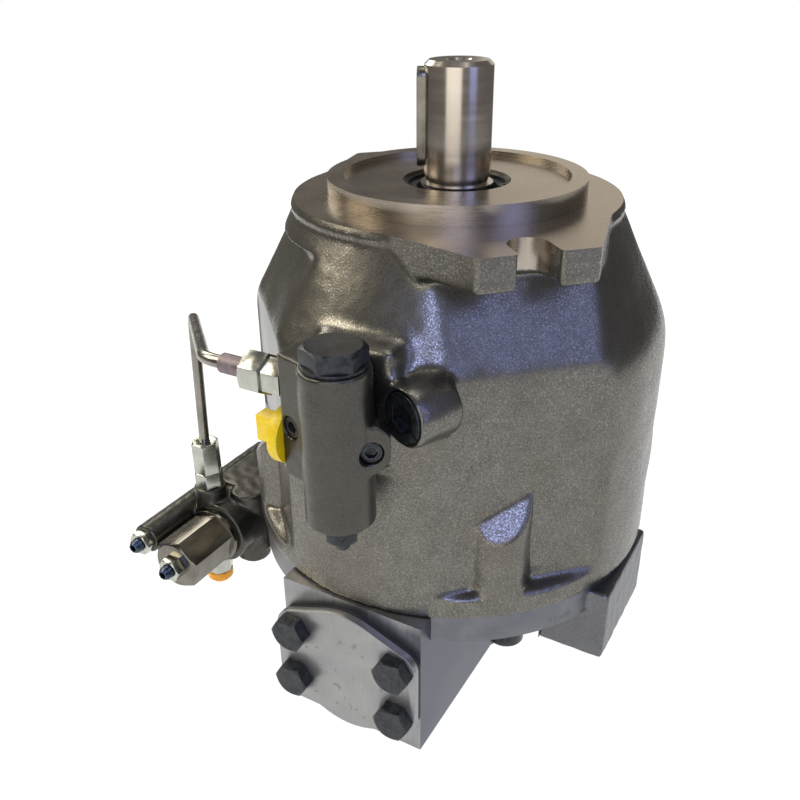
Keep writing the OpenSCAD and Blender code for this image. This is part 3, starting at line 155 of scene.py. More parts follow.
def makeCastIron(name, look):
    material, tree, shader, place = startMaterial(name, look["metallic"])
    grain = addNode(tree, "ShaderNodeTexNoise", {
        "Vector": place, "Scale": perMetre(look["grainMm"]), "Detail": 2, "Roughness": 0.6}).outputs["Fac"]
    blotch = addNode(tree, "ShaderNodeTexNoise", {
        "Vector": place, "Scale": perMetre(look["blotchMm"]),
        "Detail": 3, "Roughness": 0.5}).outputs["Fac"]
    stain = addNode(tree, "ShaderNodeTexNoise", {
        "Vector": place, "Scale": perMetre(look["stainMm"]), "Detail": 3}).outputs["Fac"]
    tone = addNode(tree, "ShaderNodeMath", {0: blotch, 1: look["blotchShare"], 2: grain},
                   operation="MULTIPLY_ADD").outputs[0]
    depth = addNode(tree, "ShaderNodeMapRange", {
        "Value": tone, "From Min": 0.35, "From Max": 1.05}).outputs[0]
    colour = addNode(tree, "ShaderNodeMix", {0: depth, 6: linear(look["dark"]), 7: linear(look["light"])},
                     data_type="RGBA").outputs[2]
    field = addNode(tree, "ShaderNodeMapRange", {
        "Value": stain, "From Min": 0.42, "From Max": 0.66, "To Max": look["stainShare"]}).outputs[0]
    colour = addNode(tree, "ShaderNodeMix", {0: field, 6: colour, 7: linear(look["brown"])},
                     data_type="RGBA").outputs[2]
    # painted glint: grains above a level are lightened towards a pale grey, as if they caught the light
    paintedGlintMask = addNode(tree, "ShaderNodeMapRange", {
        "Value": grain, "From Min": 0.58, "From Max": 0.74, "To Max": look["paintedGlintShare"]}).outputs[0]
    colour = addNode(tree, "ShaderNodeMix", {0: paintedGlintMask, 6: colour, 7: linear(look["paintedGlint"])},
                     data_type="RGBA").outputs[2]
    tree.links.new(colour, shader.inputs["Base Color"])
    rough = addNode(tree, "ShaderNodeMapRange", {
        "Value": grain, "From Min": 0.35, "From Max": 0.68,
        "To Min": look["roughHigh"], "To Max": look["roughLow"]}).outputs[0]
    tree.links.new(rough, shader.inputs["Roughness"])
    bump = addNode(tree, "ShaderNodeBump", {
        "Height": grain, "Distance": look["bumpMm"] * mm, "Strength": 1.0}).outputs[0]
    tree.links.new(bump, shader.inputs["Normal"])
    return material


# Iron or steel after turning, milling or grinding: fine lines along the tool's path, which roughen
# the surface and colour it only faintly
lineShare = 0.35


def makeMachined(name, look):
    material, tree, shader, place = startMaterial(name, look["metallic"])
    if look["lines"] == "round":    # rings about the shaft axis, from turning
        parts = addNode(tree, "ShaderNodeSeparateXYZ", {"Vector": place}).outputs
        flat = addNode(tree, "ShaderNodeCombineXYZ", {"X": parts[0], "Y": parts[1]}).outputs[0]
        radius = addNode(tree, "ShaderNodeVectorMath", {0: flat}, operation="LENGTH").outputs["Value"]
        path = addNode(tree, "ShaderNodeCombineXYZ", {"X": radius, "Y": parts[2]}).outputs[0]
        stretch = (perMetre(look["lineMm"]), perMetre(look["lineMm"]), 0)
    else:                           # straight lines, given by how far each axis is stretched
        path = place
        stretch = tuple(perMetre(size) for size in look["lines"])
    path = addNode(tree, "ShaderNodeVectorMath", {0: path, 1: stretch}, operation="MULTIPLY").outputs[0]
    line = addNode(tree, "ShaderNodeTexNoise", {"Vector": path, "Scale": 1.0, "Detail": 2}).outputs["Fac"]
    cloud = addNode(tree, "ShaderNodeTexNoise", {
        "Vector": place, "Scale": perMetre(look["cloudMm"]), "Detail": 3, "Roughness": 0.5}).outputs["Fac"]
    mixed = addNode(tree, "ShaderNodeMath", {0: line, 1: cloud}, operation="ADD").outputs[0]
    faint = addNode(tree, "ShaderNodeMath", {0: line, 1: lineShare, 2: cloud},
                    operation="MULTIPLY_ADD").outputs[0]
    tone = addNode(tree, "ShaderNodeMapRange", {
        "Value": faint, "From Min": 0.45, "From Max": 0.9}).outputs[0]
    colour = addNode(tree, "ShaderNodeMix", {0: tone, 6: linear(look["dark"]), 7: linear(look["light"])},
                     data_type="RGBA").outputs[2]
    if "speckMm" in look:           # small dark spots of rust or dirt
        speck = addNode(tree, "ShaderNodeTexNoise", {
            "Vector": place, "Scale": perMetre(look["speckMm"]), "Detail": 1}).outputs["Fac"]
        spot = addNode(tree, "ShaderNodeMapRange", {
            "Value": speck, "From Min": 0.68, "From Max": 0.76, "To Max": 0.7}).outputs[0]
        colour = addNode(tree, "ShaderNodeMix", {0: spot, 6: colour, 7: linear(look["speck"])},
                         data_type="RGBA").outputs[2]
    tree.links.new(colour, shader.inputs["Base Color"])
    rough = addNode(tree, "ShaderNodeMapRange", {
        "Value": mixed, "From Min": 0.7, "From Max": 1.3,
        "To Min": look["roughLow"], "To Max": look["roughHigh"]}).outputs[0]
    tree.links.new(rough, shader.inputs["Roughness"])
    bump = addNode(tree, "ShaderNodeBump", {
        "Height": line, "Distance": look["bumpMm"] * mm, "Strength": 1.0}).outputs[0]
    tree.links.new(bump, shader.inputs["Normal"])
    return material


# Moulded polyethylene caps and fibre or rubber sheet: soft gloss over a fine moulded grain
def makeMoulded(name, look):
    material, tree, shader, place = startMaterial(name, 0.0, look["ior"])
    grain = addNode(tree, "ShaderNodeTexNoise", {
        "Vector": place, "Scale": perMetre(look["grainMm"]), "Detail": 3}).outputs["Fac"]
    tone = addNode(tree, "ShaderNodeMapRange", {
        "Value": grain, "From Min": 0.3, "From Max": 0.7}).outputs[0]
    colour = addNode(tree, "ShaderNodeMix", {0: tone, 6: linear(look["dark"]), 7: linear(look["light"])},
                     data_type="RGBA").outputs[2]
    tree.links.new(colour, shader.inputs["Base Color"])
    rough = addNode(tree, "ShaderNodeMapRange", {
        "Value": grain, "From Min": 0.3, "From Max": 0.7,
        "To Min": look["roughLow"], "To Max": look["roughHigh"]}).outputs[0]
    tree.links.new(rough, shader.inputs["Roughness"])
    bump = addNode(tree, "ShaderNodeBump", {
        "Height": grain, "Distance": look["bumpMm"] * mm, "Strength": 1.0}).outputs[0]
    tree.links.new(bump, shader.inputs["Normal"])
    if look["glow"]:
        shader.inputs["Subsurface Weight"].default_value = look["glow"]
        shader.inputs["Subsurface Radius"].default_value = (2 * mm, 1.2 * mm, 0.4 * mm)
        shader.inputs["Subsurface Scale"].default_value = 1.0
    return material


machinedLooks = {
    # turned grey iron: warm grey, satin, with rings
    "greyIronTurned": dict(dark="#a0978a", light="#b5ab9d", metallic=1.0, lines="round", lineMm=0.6,
                           cloudMm=30, roughLow=0.22, roughHigh=0.34, bumpMm=0.003),
    # milled grey iron: neutral grey with fine upright lines
    "greyIronMilled": dict(dark="#7d7e7e", light="#a0a09e", metallic=0.95, lines=(1.0, 1.0, 40),
                           cloudMm=18, roughLow=0.28, roughHigh=0.4, bumpMm=0.003),
    # turned long ago and stained by oil and fingers
    "greyIronStained": dict(dark="#64656a", light="#787a7c", metallic=0.9, lines="round", lineMm=1.0,
                            cloudMm=16, roughLow=0.3, roughHigh=0.42, bumpMm=0.004,
                            speckMm=3.5, speck="#55534f"),
    # the same iron painted darker and bluish: painted shade with a painted blue reflection, for the port
    # block's right cheek
    "greyIronPaintedShade": dict(dark="#474b52", light="#575c64", metallic=0.9, lines=(1.0, 30, 30),
                          cloudMm=20, roughLow=0.28, roughHigh=0.4, bumpMm=0.002),
    # ground shaft steel: bright and nearly a mirror
    "steelGround": dict(dark="#b3aba1", light="#c6beb4", metallic=1.0, lines=(60, 60, 3),
                        cloudMm=30, roughLow=0.18, roughHigh=0.25, bumpMm=0.0005),
    # cold-drawn key bar
    "steelKeyDrawn": dict(dark="#66625a", light="#8a867c", metallic=1.0, lines=(1, 1, 12),
                          cloudMm=10, roughLow=0.24, roughHigh=0.38, bumpMm=0.008),
    # cold-rolled plate: pale grey, dull, with a few rust spots
    "steelPlateRolled": dict(dark="#8e8f8d", light="#9d9d9a", metallic=0.85, lines=(1.0, 10, 30),
                             cloudMm=14, roughLow=0.34, roughHigh=0.44, bumpMm=0.002,
                             speckMm=4, speck="#77736c"),
    # black-oxide bolts: near black with a dull sheen
    "steelBlackOxide": dict(dark="#2a2c2e", light="#424547", metallic=0.8, lines=(2, 2, 2),
                            cloudMm=4, roughLow=0.3, roughHigh=0.46, bumpMm=0.03),
    # the same where handling has rubbed the edges
    "steelBlackWorn": dict(dark="#4c4d4d", light="#77787a", metallic=1.0, lines=(1, 1, 1),
                           cloudMm=2, roughLow=0.26, roughHigh=0.4, bumpMm=0.01),
    # burnished hexagon bar: bright flats that mirror the room
    "steelBarBurnished": dict(dark="#6b675f", light="#837f76", metallic=1.0, lines=(1, 16, 1),
                              cloudMm=12, roughLow=0.16, roughHigh=0.28, bumpMm=0.004),
    # zinc-plated nuts and couplings: pale silver
    "steelZincPlated": dict(dark="#a9aaa0", light="#bdbeb4", metallic=1.0, lines=(2, 2, 2),
                            cloudMm=8, roughLow=0.18, roughHigh=0.28, bumpMm=0.006),
    # drawn tube: grey steel
    "steelTubeDrawn": dict(dark="#7a776f", light="#99958c", metallic=1.0, lines=(6, 6, 6),
                           cloudMm=9, roughLow=0.2, roughHigh=0.32, bumpMm=0.006),
    # phosphated cutting sleeve on the tube: matt mauve grey
    "steelSleevePhosphated": dict(dark="#6d6263", light="#8d8182", metallic=0.6, lines=(2, 2, 2),
                                  cloudMm=3, roughLow=0.45, roughHigh=0.6, bumpMm=0.03),
    # blued set screws
    "steelBlued": dict(dark="#2b333c", light="#4a5662", metallic=0.9, lines=(2, 2, 2),
                       cloudMm=4, roughLow=0.26, roughHigh=0.4, bumpMm=0.01),
    # hardened and lapped running parts inside the pump
    "steelLapped": dict(dark="#8d8c8a", light="#b4b3b0", metallic=1.0, lines=(1, 1, 1),
                        cloudMm=8, roughLow=0.14, roughHigh=0.26, bumpMm=0.006),
    # bearing bronze
    "bronzeTurned": dict(dark="#7a5a33", light="#a98452", metallic=1.0, lines="round", lineMm=0.5,
                         cloudMm=8, roughLow=0.22, roughHigh=0.36, bumpMm=0.01),
}

mouldedLooks = {
    # bright yellow cap that lets a little light through
    "polyethyleneYellow": dict(dark="#dcb800", light="#e9ce10", ior=1.51, grainMm=1.4,
                               roughLow=0.36, roughHigh=0.5, bumpMm=0.03, glow=0.08),
    # the same in amber
    "polyethyleneAmber": dict(dark="#dc8f08", light="#f2ac1c", ior=1.51, grainMm=1.4,
                              roughLow=0.32, roughHigh=0.46, bumpMm=0.03, glow=0.1),
    # pressed gasket sheet: black and dull
    "fibreSheetBlack": dict(dark="#141516", light="#24272a", ior=1.5, grainMm=1.2,
                            roughLow=0.6, roughHigh=0.8, bumpMm=0.08, glow=0),
    # seal lip: black with a soft sheen
    "rubberMoulded": dict(dark="#101112", light="#1d1e20", ior=1.52, grainMm=0.9,
                          roughLow=0.5, roughHigh=0.7, bumpMm=0.03, glow=0),
}

castLooks = {
    "greyIronCast": castIron,
    # smoother, from a shell mould
    "greyIronShellCast": dict(castIron, dark="#46453f", light="#57564f", brown="#524d45",
                              paintedGlint="#605e58", grainMm=0.8, bumpMm=0.03, roughLow=0.28, roughHigh=0.38),
    # phosphated against rust: almost black
    "greyIronPhosphated": dict(castIron, dark="#42413c", light="#5a5852", brown="#47433c",
                               paintedGlint="#6d6b66", grainMm=0.9, bumpMm=0.06, roughLow=0.28, roughHigh=0.4),
    # paler skin of the port plate's rough sides
    "greyIronCastPale": dict(castIron, dark="#5b5c5d", light="#777879", brown="#686663",
                             paintedGlint="#828382", grainMm=1.0, bumpMm=0.08, roughLow=0.32, roughHigh=0.46),
}

finishes = {name: makeMachined(name, look) for name, look in machinedLooks.items()}
finishes.update({name: makeMoulded(name, look) for name, look in mouldedLooks.items()})
finishes.update({name: makeCastIron(name, look) for name, look in castLooks.items()})
print("materials made:", len(finishes))


# Mesh helpers

def newPiece(name, mesh, *finishNames):
    piece = bpy.data.objects.new(name, mesh)
    bpy.context.scene.collection.objects.link(piece)
    mesh.materials.clear()
    for finishName in finishNames:
        mesh.materials.append(finishes[finishName])
    return piece


def meshOf(node, joinMm=0.001):
    bm = bmesh.new()
    bm.from_mesh(frame["nodes"][node].data)
    bmesh.ops.remove_doubles(bm, verts=bm.verts, dist=joinMm * mm)
    mesh = bpy.data.meshes.new(node + "Copy")
    for face in bm.faces:
        face.material_index = 0
    bm.to_mesh(mesh)
    bm.free()
    if "custom_normal" in mesh.attributes:      # the copy is cut and bevelled, so it gets new normals
        mesh.attributes.remove(mesh.attributes["custom_normal"])
    return mesh


# Turns a closed profile of radius and height, in millimetres, about Z
def latheMesh(name, profile, steps=180):
    bm = bmesh.new()
    rings = []
    for radius, height in profile:
        if radius < 1e-6:
            rings.append([bm.verts.new((0, 0, height * mm))])
            continue
        angles = [2 * math.pi * i / steps for i in range(steps)]
        rings.append([bm.verts.new((radius * math.cos(a) * mm, radius * math.sin(a) * mm, height * mm))
                      for a in angles])
    for lower, upper in zip(rings, rings[1:] + rings[:1]):
        for i in range(steps):
            j = (i + 1) % steps
            corners = []
            for vert in (lower[i % len(lower)], lower[j % len(lower)],
                         upper[j % len(upper)], upper[i % len(upper)]):
                if vert not in corners:
                    corners.append(vert)
            if len(corners) > 2:
                bm.faces.new(corners)
    bmesh.ops.recalc_face_normals(bm, faces=bm.faces)
    mesh = bpy.data.meshes.new(name)
    bm.to_mesh(mesh)
    bm.free()
    return mesh


def rodMesh(name, radius, low, high, place=Matrix(), steps=96):
    mesh = latheMesh(name, [(0, low), (radius, low), (radius, high), (0, high)], steps)
    mesh.transform(place)
    return mesh


def boxMesh(name, low, high, place=Matrix()):
    bm = bmesh.new()
    bmesh.ops.create_cube(bm, size=1.0)
    size = [(b - a) * mm for a, b in zip(low, high)]
    middle = [(a + b) / 2 * mm for a, b in zip(low, high)]
    bm.transform(place @ Matrix.Translation(middle) @ Matrix.Diagonal((*size, 1)))
    mesh = bpy.data.meshes.new(name)
    bm.to_mesh(mesh)
    bm.free()
    return mesh


def bake(piece):
    graph = bpy.context.evaluated_depsgraph_get()
    mesh = bpy.data.meshes.new_from_object(piece.evaluated_get(graph), preserve_all_data_layers=True,
                                           depsgraph=graph)
    spent = piece.data
    piece.modifiers.clear()
    piece.data = mesh
    bpy.data.meshes.remove(spent)


def combine(piece, other, operation):
    step = piece.modifiers.new("combine", "BOOLEAN")
    step.operation = operation
    step.solver = "MANIFOLD"
    step.object = other
    bake(piece)
    bpy.data.objects.remove(other)


# Cutting and bevelling leave slivers: points that meet are joined, and scraps of a few faces go
def dropScraps(mesh, joinMm=0.003, fewest=12):
    bm = bmesh.new()
    bm.from_mesh(mesh)
    bmesh.ops.remove_doubles(bm, verts=bm.verts, dist=joinMm * mm)
    bmesh.ops.dissolve_degenerate(bm, edges=bm.edges, dist=joinMm * mm)
    left, scraps = set(bm.faces), []
    while left:
        island = [left.pop()]
        for face in island:     # the list grows while it is walked
            for edge in face.edges:
                if len(edge.link_faces) == 2:
                    near = [other for other in edge.link_faces if other in left]
                    left.difference_update(near)
                    island += near
        if len(island) < fewest:
            scraps += island
    bmesh.ops.delete(bm, geom=scraps, context="FACES")
    bm.to_mesh(mesh)
    bm.free()


def shade(mesh, degrees):
    mesh.polygons.foreach_set("use_smooth", [True] * len(mesh.polygons))
    mesh.set_sharp_from_angle(angle=math.radians(degrees))
    mesh.update()


def points(mesh):
    flat = np.empty(len(mesh.vertices) * 3)
    mesh.vertices.foreach_get("co", flat)
    return flat.reshape(-1, 3)


def setPoints(mesh, at):
    mesh.vertices.foreach_set("co", at.ravel())
    mesh.update()


# Each vertex moves towards the middle of its neighbours, as far as its weight says
def relax(mesh, steps, weight, share=0.5):
    at = points(mesh)
    pairs = np.empty(len(mesh.edges) * 2, np.int64)
    mesh.edges.foreach_get("vertices", pairs)
    a, b = pairs[0::2], pairs[1::2]
    count = np.bincount(a, minlength=len(at)) + np.bincount(b, minlength=len(at))
    for _ in range(steps):
        total = np.empty_like(at)
        for axis in range(3):
            total[:, axis] = np.bincount(a, at[b, axis], len(at)) + np.bincount(b, at[a, axis], len(at))
        at += share * weight[:, None] * (total / count[:, None] - at)
    setPoints(mesh, at)


# Uneven skin of a sand mould, as many small waves that cross at fixed chance angles
def roughen(mesh, heightMm, sizeMm, weight, waves=24, seed=5):
    at = points(mesh)
    flat = np.empty(len(at) * 3)
    mesh.vertices.foreach_get("normal", flat)
    chance = np.random.default_rng(seed)
    ways = chance.normal(size=(waves, 3))
    ways *= 2 * math.pi * perMetre(sizeMm) / np.linalg.norm(ways, axis=1)[:, None]
    starts = chance.uniform(0, 2 * math.pi, waves)
    lift = np.sin(at @ ways.T + starts).sum(axis=1) / math.sqrt(waves / 2)
    setPoints(mesh, at + flat.reshape(-1, 3) * (lift * weight * heightMm * mm)[:, None])


def remeshed(mesh, voxelMm):
    piece = newPiece("casting", mesh)
    step = piece.modifiers.new("voxels", "REMESH")
    step.mode = "VOXEL"
    step.voxel_size = voxelMm * mm
    bake(piece)
    out = piece.data
    bpy.data.objects.remove(piece)
    return out


def joined(name, meshes):
    bm = bmesh.new()
    for mesh in meshes:
        bm.from_mesh(mesh)
    mesh = bpy.data.meshes.new(name)
    bm.to_mesh(mesh)
    bm.free()
    return mesh


# Takes away what lies on the side that the arrow points to
def cutAway(mesh, at, arrow):
    bm = bmesh.new()
    bm.from_mesh(mesh)
    cut = bmesh.ops.bisect_plane(bm, geom=bm.verts[:] + bm.edges[:] + bm.faces[:], plane_co=at,
                                 plane_no=arrow, clear_outer=True)
    edges = [e for e in cut["geom_cut"] if isinstance(e, bmesh.types.BMEdge)]
    bmesh.ops.contextual_create(bm, geom=edges)
    bm.to_mesh(mesh)
    bm.free()


def standFor(piece, node):
    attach(piece, bodyOf[node])
    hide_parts(node)


def smoothStep(low, high, value):
    t = np.clip((value - low) / (high - low), 0, 1)
    return t * t * (3 - 2 * t)


def turnZ(degrees):
    return Matrix.Rotation(math.radians(degrees), 4, "Z")


# Housing: cast with stock on its faces, then machined back to the CAD faces
housingCast = {
    "voxelMm": 1.15, "stockMm": 4, "flangeMm": 15.5,
    "pilotMm": 63.5, "jointMm": -175.5, "clearMm": 160,
    "fillers": ((95, -180, -170), (57, -8, 10), (68, -5, 14)),      # radius, low and high, bored out later
    "bore": [(0, 30), (64, 30), (64, -1), (60, -3), (60, -30), (81.5, -30), (94.3, -60.5),
             (94.3, -190), (0, -190)],
    "edgeSteps": 6,         # softens every edge to about 1.5 mm
    "blendSteps": 44,       # softens the upper body's creases to about 5 mm
    "lowEdge": 0.5, "lowBlend": 0.03, "ledgeBlend": 0.3,    # shares of both lower down
    # heights between which each of these fades
    "upperFade": (-108, -88), "flangeFade": (-24, -14), "waveFade": (-20, -6),
    "ledgeTopFade": (-156, -150), "ledgeLowFade": (-175, -169),
    "columnFootMm": -172, "columnRoomMm": 35,
    "columnMm": 15, "columnReachMm": 92, "columnAsideMm": -7.5,
    "columnTop": (97, -7, -120), "columnLean": (1.21, -0.48, 1),
    "flatMm": 97.05, "flatHalfMm": 46, "ledgeMm": -163.5, "flatTopMm": -95,
    "waveMm": 0.1, "waveSizeMm": 26, "dimpleMm": 0.02, "dimpleSizeMm": 6, "leastDimple": 0.4,
    "slotMm": 18, "slotReachMm": 90,
    "drainReachMm": 119.7, "drainTurn": -74.1, "drainDepthMm": 63, "drainAim": -112,
    "spotMm": 15.5, "spotDeepMm": 0.15,
    "sidePadReachMm": 96.3, "sidePadHalfMm": 39, "sidePadTopMm": -36, "sidePadLowMm": -120,
}


# A joint column with a slanting top, free of the flat behind it, which ends on a ledge
def shapeColumn(look, rough, aim):
    flat, half = look["flatMm"], look["flatHalfMm"]
    room = boxMesh("columnRoom", (flat, -half, look["ledgeMm"]),
                   (flat + look["columnRoomMm"], half, look["flatTopMm"]), aim)
    combine(rough, newPiece("columnRoom", room), "DIFFERENCE")
    place = aim @ Matrix.Translation((look["columnReachMm"] * mm, look["columnAsideMm"] * mm, 0))
    column = rodMesh("column", look["columnMm"], look["columnFootMm"], look["flatTopMm"], place)
    cutAway(column, aim @ (Vector(look["columnTop"]) * mm), aim.to_3x3() @ Vector(look["columnLean"]))
    return column


def makeHousing():
    look = housingCast
    cad = meshOf("housing")
    out = turnZ(look["drainTurn"]) @ Vector((look["drainReachMm"] * mm, 0, -look["drainDepthMm"] * mm))
    drain = Matrix.Translation(out) @ turnZ(look["drainAim"]) @ Matrix.Rotation(math.radians(90), 4, "Y")
    rough = newPiece("housingRough", cad.copy())
    columns = [shapeColumn(look, rough, turnZ(90 * corner - 45)) for corner in range(4)]
    stock = cad.copy()
    cutAway(stock, (0, 0, -look["flangeMm"] / 2 * mm), (0, 0, -1))
    stock.transform(Matrix.Translation((0, 0, look["stockMm"] * mm)))
    fillers = [rodMesh("filler", radius, low, high, steps=180) for radius, low, high in look["fillers"]]
    skin = remeshed(joined("housingRough", [rough.data, stock] + fillers + columns), look["voxelMm"])
    bpy.data.objects.remove(rough)
    height = points(skin)[:, 2] / mm
    upper = smoothStep(*look["upperFade"], height)
    ledge = look["ledgeBlend"] * (1 - smoothStep(*look["ledgeTopFade"], height))
    ledge = ledge * smoothStep(*look["ledgeLowFade"], height)
    relax(skin, look["edgeSteps"], look["lowEdge"] + (1 - look["lowEdge"]) * upper)
    blend = look["lowBlend"] + (1 - look["lowBlend"]) * upper
    relax(skin, look["blendSteps"], blend * (1 - smoothStep(*look["flangeFade"], height)) + ledge)
    body = 1 - smoothStep(*look["waveFade"], height)
    roughen(skin, look["waveMm"], look["waveSizeMm"], body)
    least = look["leastDimple"]
    roughen(skin, look["dimpleMm"], look["dimpleSizeMm"], least + (1 - least) * body)
    piece = newPiece("housingCasting", skin, "greyIronCast", "greyIronTurned", "greyIronMilled")

    # pilot, bore and cavity are left as the CAD housing has them
    tool = newPiece("boringTool", latheMesh("boringTool", look["bore"], 256), "greyIronTurned")
    combine(tool, newPiece("housingCad", cad, "greyIronTurned"), "DIFFERENCE")
    combine(piece, tool, "DIFFERENCE")
    # both faces are cut flat, and this tool and those below reach past the casting
    for inner, low, high in ((look["pilotMm"], 0, 30), (80, -200, look["jointMm"])):
        profile = [(inner, low), (look["clearMm"], low), (look["clearMm"], high), (inner, high)]
        facing = newPiece("facingTool", latheMesh("facingTool", profile, 256), "greyIronTurned")
        combine(piece, facing, "DIFFERENCE")
    half = look["slotMm"] / 2
    for aim in (-45, 135):
        place = turnZ(aim) @ Matrix.Translation((look["slotReachMm"] * mm, 0, 0))
        slot = boxMesh("slotTool", (0, -half, -look["flangeMm"]), (40, half, 20), place)
        end = rodMesh("slotEnd", half, -look["flangeMm"], 20, place)
        cutter = newPiece("slotTool", slot, "greyIronTurned")
        combine(cutter, newPiece("slotEnd", end, "greyIronTurned"), "UNION")
        combine(piece, cutter, "DIFFERENCE")

    # spot face of the drain plug
    spot = rodMesh("spotTool", look["spotMm"], -look["spotDeepMm"], 14, drain)
    combine(piece, newPiece("spotTool", spot, "greyIronMilled"), "DIFFERENCE")
    # milled pad on the left front flat
    reach, wide = look["sidePadReachMm"], look["sidePadHalfMm"]
    pad = boxMesh("padTool", (reach, -wide, look["sidePadLowMm"]),
                  (reach + 20, wide, look["sidePadTopMm"]), turnZ(-135))
    combine(piece, newPiece("padTool", pad, "greyIronMilled"), "DIFFERENCE")
    dropScraps(piece.data)
    shade(piece.data, degrees=32)
    standFor(piece, "housing")
    print("housing cast and machined:", len(piece.data.vertices), "vertices")


makeHousing()


# Small castings: the two valve bodies
valveCasts = {
    "power_valve_body": dict(name="powerValveCasting", voxelMm=0.6, steps=6, waveMm=0.03, waveSizeMm=7,
                             finish="greyIronShellCast", endMm=-110.5, endHalfMm=13.4, washerMm=7.5,
                             chamferMm=3, clearMm=25),
    "control_valve_body": dict(name="controlValveCasting", voxelMm=0.65, steps=8, waveMm=0.05,
                               waveSizeMm=7, finish="greyIronPhosphated"),
}


def makeValveCasting(node, look):
    skin = remeshed(meshOf(node), look["voxelMm"])
    even = np.ones(len(skin.vertices))
    relax(skin, look["steps"], even)
    roughen(skin, look["waveMm"], look["waveSizeMm"], even)
    piece = newPiece(look["name"], skin, look["finish"])
    if "endMm" in look:     # faced lower end, with a black washer down to the lock nut
        low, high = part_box("power_adjuster")
        axis = Matrix.Translation(((low[0] + high[0]) / 2, (low[1] + high[1]) / 2, 0))
        end, half, clear = look["endMm"], look["endHalfMm"], look["clearMm"]
        slope = look["chamferMm"]
        profile = [(0, end - 20), (clear, end - 20), (clear, end + slope), (half + slope, end + slope),
                   (half, end), (0, end)]
        facing = latheMesh("facing", profile, 96)
        facing.transform(axis)
        washer = rodMesh("powerValveWasher", look["washerMm"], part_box(node)[0][2] / mm, end + 1, axis)
        combine(piece, newPiece("facing", facing, look["finish"]), "DIFFERENCE")
        ring = newPiece("powerValveWasher", washer, "steelBlackOxide")
        shade(ring.data, degrees=30)
        standFor(ring, node)
    shade(piece.data, degrees=60)
    standFor(piece, node)
    print(look["name"], "made:", len(piece.data.vertices), "vertices")


for node, look in valveCasts.items():
    makeValveCasting(node, look)


# Machined pieces keep their CAD shape and get broken edges, some of them rubbed bright
brokenEdges = {
    "pressure_cover": dict(finish="steelPlateRolled", edge="steelPlateRolled", widthMm=0.4),
    "pressure_bolts": dict(finish="steelBlackOxide", edge="steelBlackWorn", widthMm=0.3),
    "pressure_gasket": dict(finish="fibreSheetBlack", edge="fibreSheetBlack", widthMm=0.2),
    "power_valve_plug": dict(finish="steelBlackOxide", edge="steelBlackWorn", widthMm=0.35),
    "spring_cap": dict(finish="steelBarBurnished", edge="steelBarBurnished", widthMm=0.4),
    "lock_nuts": dict(finish="steelZincPlated", edge="steelZincPlated", widthMm=0.25),
    "tube_nuts": dict(finish="steelZincPlated", edge="steelZincPlated", widthMm=0.3),
    "tube_couplings": dict(finish="steelZincPlated", edge="steelZincPlated", widthMm=0.25),
    "gauge_cap": dict(finish="polyethyleneAmber", edge="polyethyleneAmber", widthMm=0.6),
    "shaft_key": dict(finish="steelKeyDrawn", edge="steelKeyDrawn", widthMm=0.4),
    "drain_plug": dict(finish="steelBlackOxide", edge="steelBlackWorn", widthMm=0.35),
    "valve_screws": dict(finish="steelBlackOxide", edge="steelBlackWorn", widthMm=0.2),
    "port_plate_screws": dict(finish="steelBlackOxide", edge="steelBlackWorn", widthMm=0.3),
}


def pieceName(node):
    words = node.split("_")
    return words[0] + "".join(word.title() for word in words[1:])


# Edges that turn by more than sharpDegrees get a bevel, after flat neighbours are made one face
def breakEdges(piece, widthMm, edgeSlot, flatDegrees=0.5, sharpDegrees=35):
    bm = bmesh.new()
    bm.from_mesh(piece.data)
    bmesh.ops.dissolve_limit(bm, angle_limit=math.radians(flatDegrees), verts=bm.verts, edges=bm.edges)
    bm.to_mesh(piece.data)
    bm.free()
    step = piece.modifiers.new("edges", "BEVEL")
    step.width = widthMm * mm
    step.segments = 2
    step.limit_method = "ANGLE"
    step.angle_limit = math.radians(sharpDegrees)
    step.material = edgeSlot
    bake(piece)
    dropScraps(piece.data)
    shade(piece.data, degrees=28)


# Turned pieces keep their CAD shape and are shaded round
roundShaded = {
    "drive_shaft": "steelGround", "shaft_seal": "rubberMoulded", "seal_circlip": "steelBlackOxide",
}
for node, finish in roundShaded.items():
    piece = newPiece(pieceName(node), meshOf(node), finish)
    shade(piece.data, degrees=25)
    standFor(piece, node)

for node, look in brokenEdges.items():
    piece = newPiece(pieceName(node), meshOf(node), look["finish"], look["edge"])
    breakEdges(piece, look["widthMm"], 1)
    standFor(piece, node)
print("edges broken on", len(brokenEdges), "pieces")


# Winged plug: a moulded disc with a rim, and the wing that it is pulled out by
wingedPlug = {
    "discMm": 13.4, "discThickMm": 5, "spigotMm": 5, "spigotLongMm": 3.4,
    "rimMm": 2, "dishMm": 3, "dishDeepMm": 0.8,
    "wingLongMm": 18, "wingTallMm": 12.5, "wingThickMm": 7, "stepLongMm": 8, "stepThickMm": 12,
    "softMm": 0.9,
}


def makeWingedPlug():
    look = wingedPlug
    low, high = (Vector(corner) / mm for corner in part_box("winged_plug"))
    radius, thick = look["discMm"], look["discThickMm"]
    spigot, foot, dish = look["spigotMm"], -look["spigotLongMm"], thick - look["dishDeepMm"]
    profile = [(0, foot), (spigot, foot), (spigot, 0), (radius, 0), (radius, thick),
               (radius - look["rimMm"], thick), (radius - look["dishMm"], dish), (0, dish)]
    piece = newPiece("wingedPlug", latheMesh("wingedPlug", profile, 72), "polyethyleneYellow")
    tall = look["wingTallMm"] / 2
    for part in ("wing", "step"):
        along, across = look[part + "LongMm"], look[part + "ThickMm"]
        wing = boxMesh("wing", (-tall, -across / 2, 1), (tall, across / 2, along))
        combine(piece, newPiece("wing", wing, "polyethyleneYellow"), "UNION")
    seat = Vector((high.x - look["spigotLongMm"], (low.y + high.y) / 2, (low.z + high.z) / 2))
    turn = Matrix.Rotation(math.radians(-90), 4, "Y")
    piece.data.transform(Matrix.Translation(seat * mm) @ turn)
    breakEdges(piece, look["softMm"], -1)
    standFor(piece, "winged_plug")


